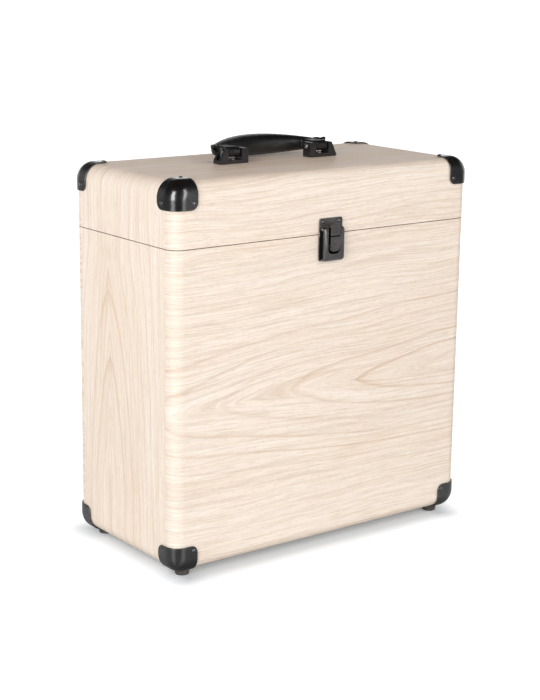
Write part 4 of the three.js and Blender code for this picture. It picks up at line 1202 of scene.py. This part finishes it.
grip_leather, shader, where = finish("grip_leather")
tree = grip_leather.node_tree
drift = node(tree, "ShaderNodeTexNoise", {"Vector": where, "Scale": 500.0, "Detail": 1.0}).outputs["Color"]
jittered = vector_node("MULTIPLY_ADD", drift, LEATHER_JITTER, where)
cells = node(tree, "ShaderNodeTexVoronoi", {"Vector": jittered, "Scale": 700.0}, feature="DISTANCE_TO_EDGE")
pebble = spread(cells.outputs["Distance"], 0.0, 0.22)
rub = noise(where, 80, 4.0, 0.6, 8.0)
# Painted shade: the leathercloth is darker in the creases between its pebbles.
colour = mixed(pebble, srgb(7, 7, 7), srgb(17, 16, 16))
wire(shader, {
    "Base Color": mixed(spread(rub, 0.5, 0.8, 0, 0.25), colour, srgb(60, 57, 56)),
    "Roughness": spread(rub, 0.3, 0.7, 0.3, 0.44),
    "Specular IOR Level": 0.3,
    "Coat Weight": 0.6,
    "Coat Roughness": 0.08,
})
bumped(shader, pebble, 0.0003, 0.8)
softer = node(tree, "ShaderNodeBump", {"Height": pebble, "Distance": 0.0003, "Strength": 0.3})
wire(shader, {"Coat Normal": softer})

grip_low, grip_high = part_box("handle")
pin_z = head_seat("handle_pin_left", 0, 1)[0].z
grip_half = grip_high.x
bar_half = grip_half - TIP_LENGTH
bar_half_thick = (grip_high.z - grip_low.z) / 2


def grip_ring(x, half_thick, half_wide):
    """One ring of the grip at x, its centre on the bow, slightly squared."""
    share = min(1, abs(x) / bar_half)
    past = max(0, abs(x) - bar_half) / TIP_LENGTH
    y = SHOULDER_REACH + (BAR_REACH - SHOULDER_REACH) * (1 - share * share) - past * TIP_TUCK
    z = pin_z + past * TIP_RISE
    ring = []
    for i in range(GRIP_POINTS):
        c, s = math.cos(2 * math.pi * i / GRIP_POINTS), math.sin(2 * math.pi * i / GRIP_POINTS)
        reach = (abs(c) ** SQUARENESS + abs(s) ** SQUARENESS) ** (-1 / SQUARENESS)
        ring.append((x, y + half_wide * reach * c, z + half_thick * reach * s))
    return ring


rings = [grip_ring(from_end - grip_half, size, size) for from_end, size in NUB_SIZES]
for i in range(BAR_STATIONS + 1):
    x = bar_half * (2 * i / BAR_STATIONS - 1)
    share = 1 - (x / bar_half) ** 2
    sizes = [SHOULDER_HALF + (half - SHOULDER_HALF) * share for half in (bar_half_thick, BAR_HALF_WIDE)]
    rings.append(grip_ring(x, *sizes))
rings += [grip_ring(grip_half - from_end, size, size) for from_end, size in reversed(NUB_SIZES)]
grip = as_piece("handle_grip", lofted(rings), [grip_leather])
for side_x in (-1, 1):
    x0, x1 = side_x * BARREL_MIDDLE - BARREL_HALF, side_x * BARREL_MIDDLE + BARREL_HALF
    combine(grip, rod_along_x(BARREL_RADIUS, x0, x1, 0, pin_z, BARREL_STEPS), "UNION")
    neck = block(x0, x1, 0, SHOULDER_REACH + NECK_IN_BAR, pin_z - NECK_HALF, pin_z + NECK_HALF)
    combine(grip, neck, "UNION")
modify(grip, "REMESH", mode="VOXEL", voxel_size=GRIP_VOXEL)
modify(grip, "SMOOTH", factor=0.5, iterations=4)
settle(grip)
grip.data.shade_smooth()
grip.data.materials.clear()
grip.data.materials.append(grip_leather)
dress(grip, "handle", "grip_leather", "handle")
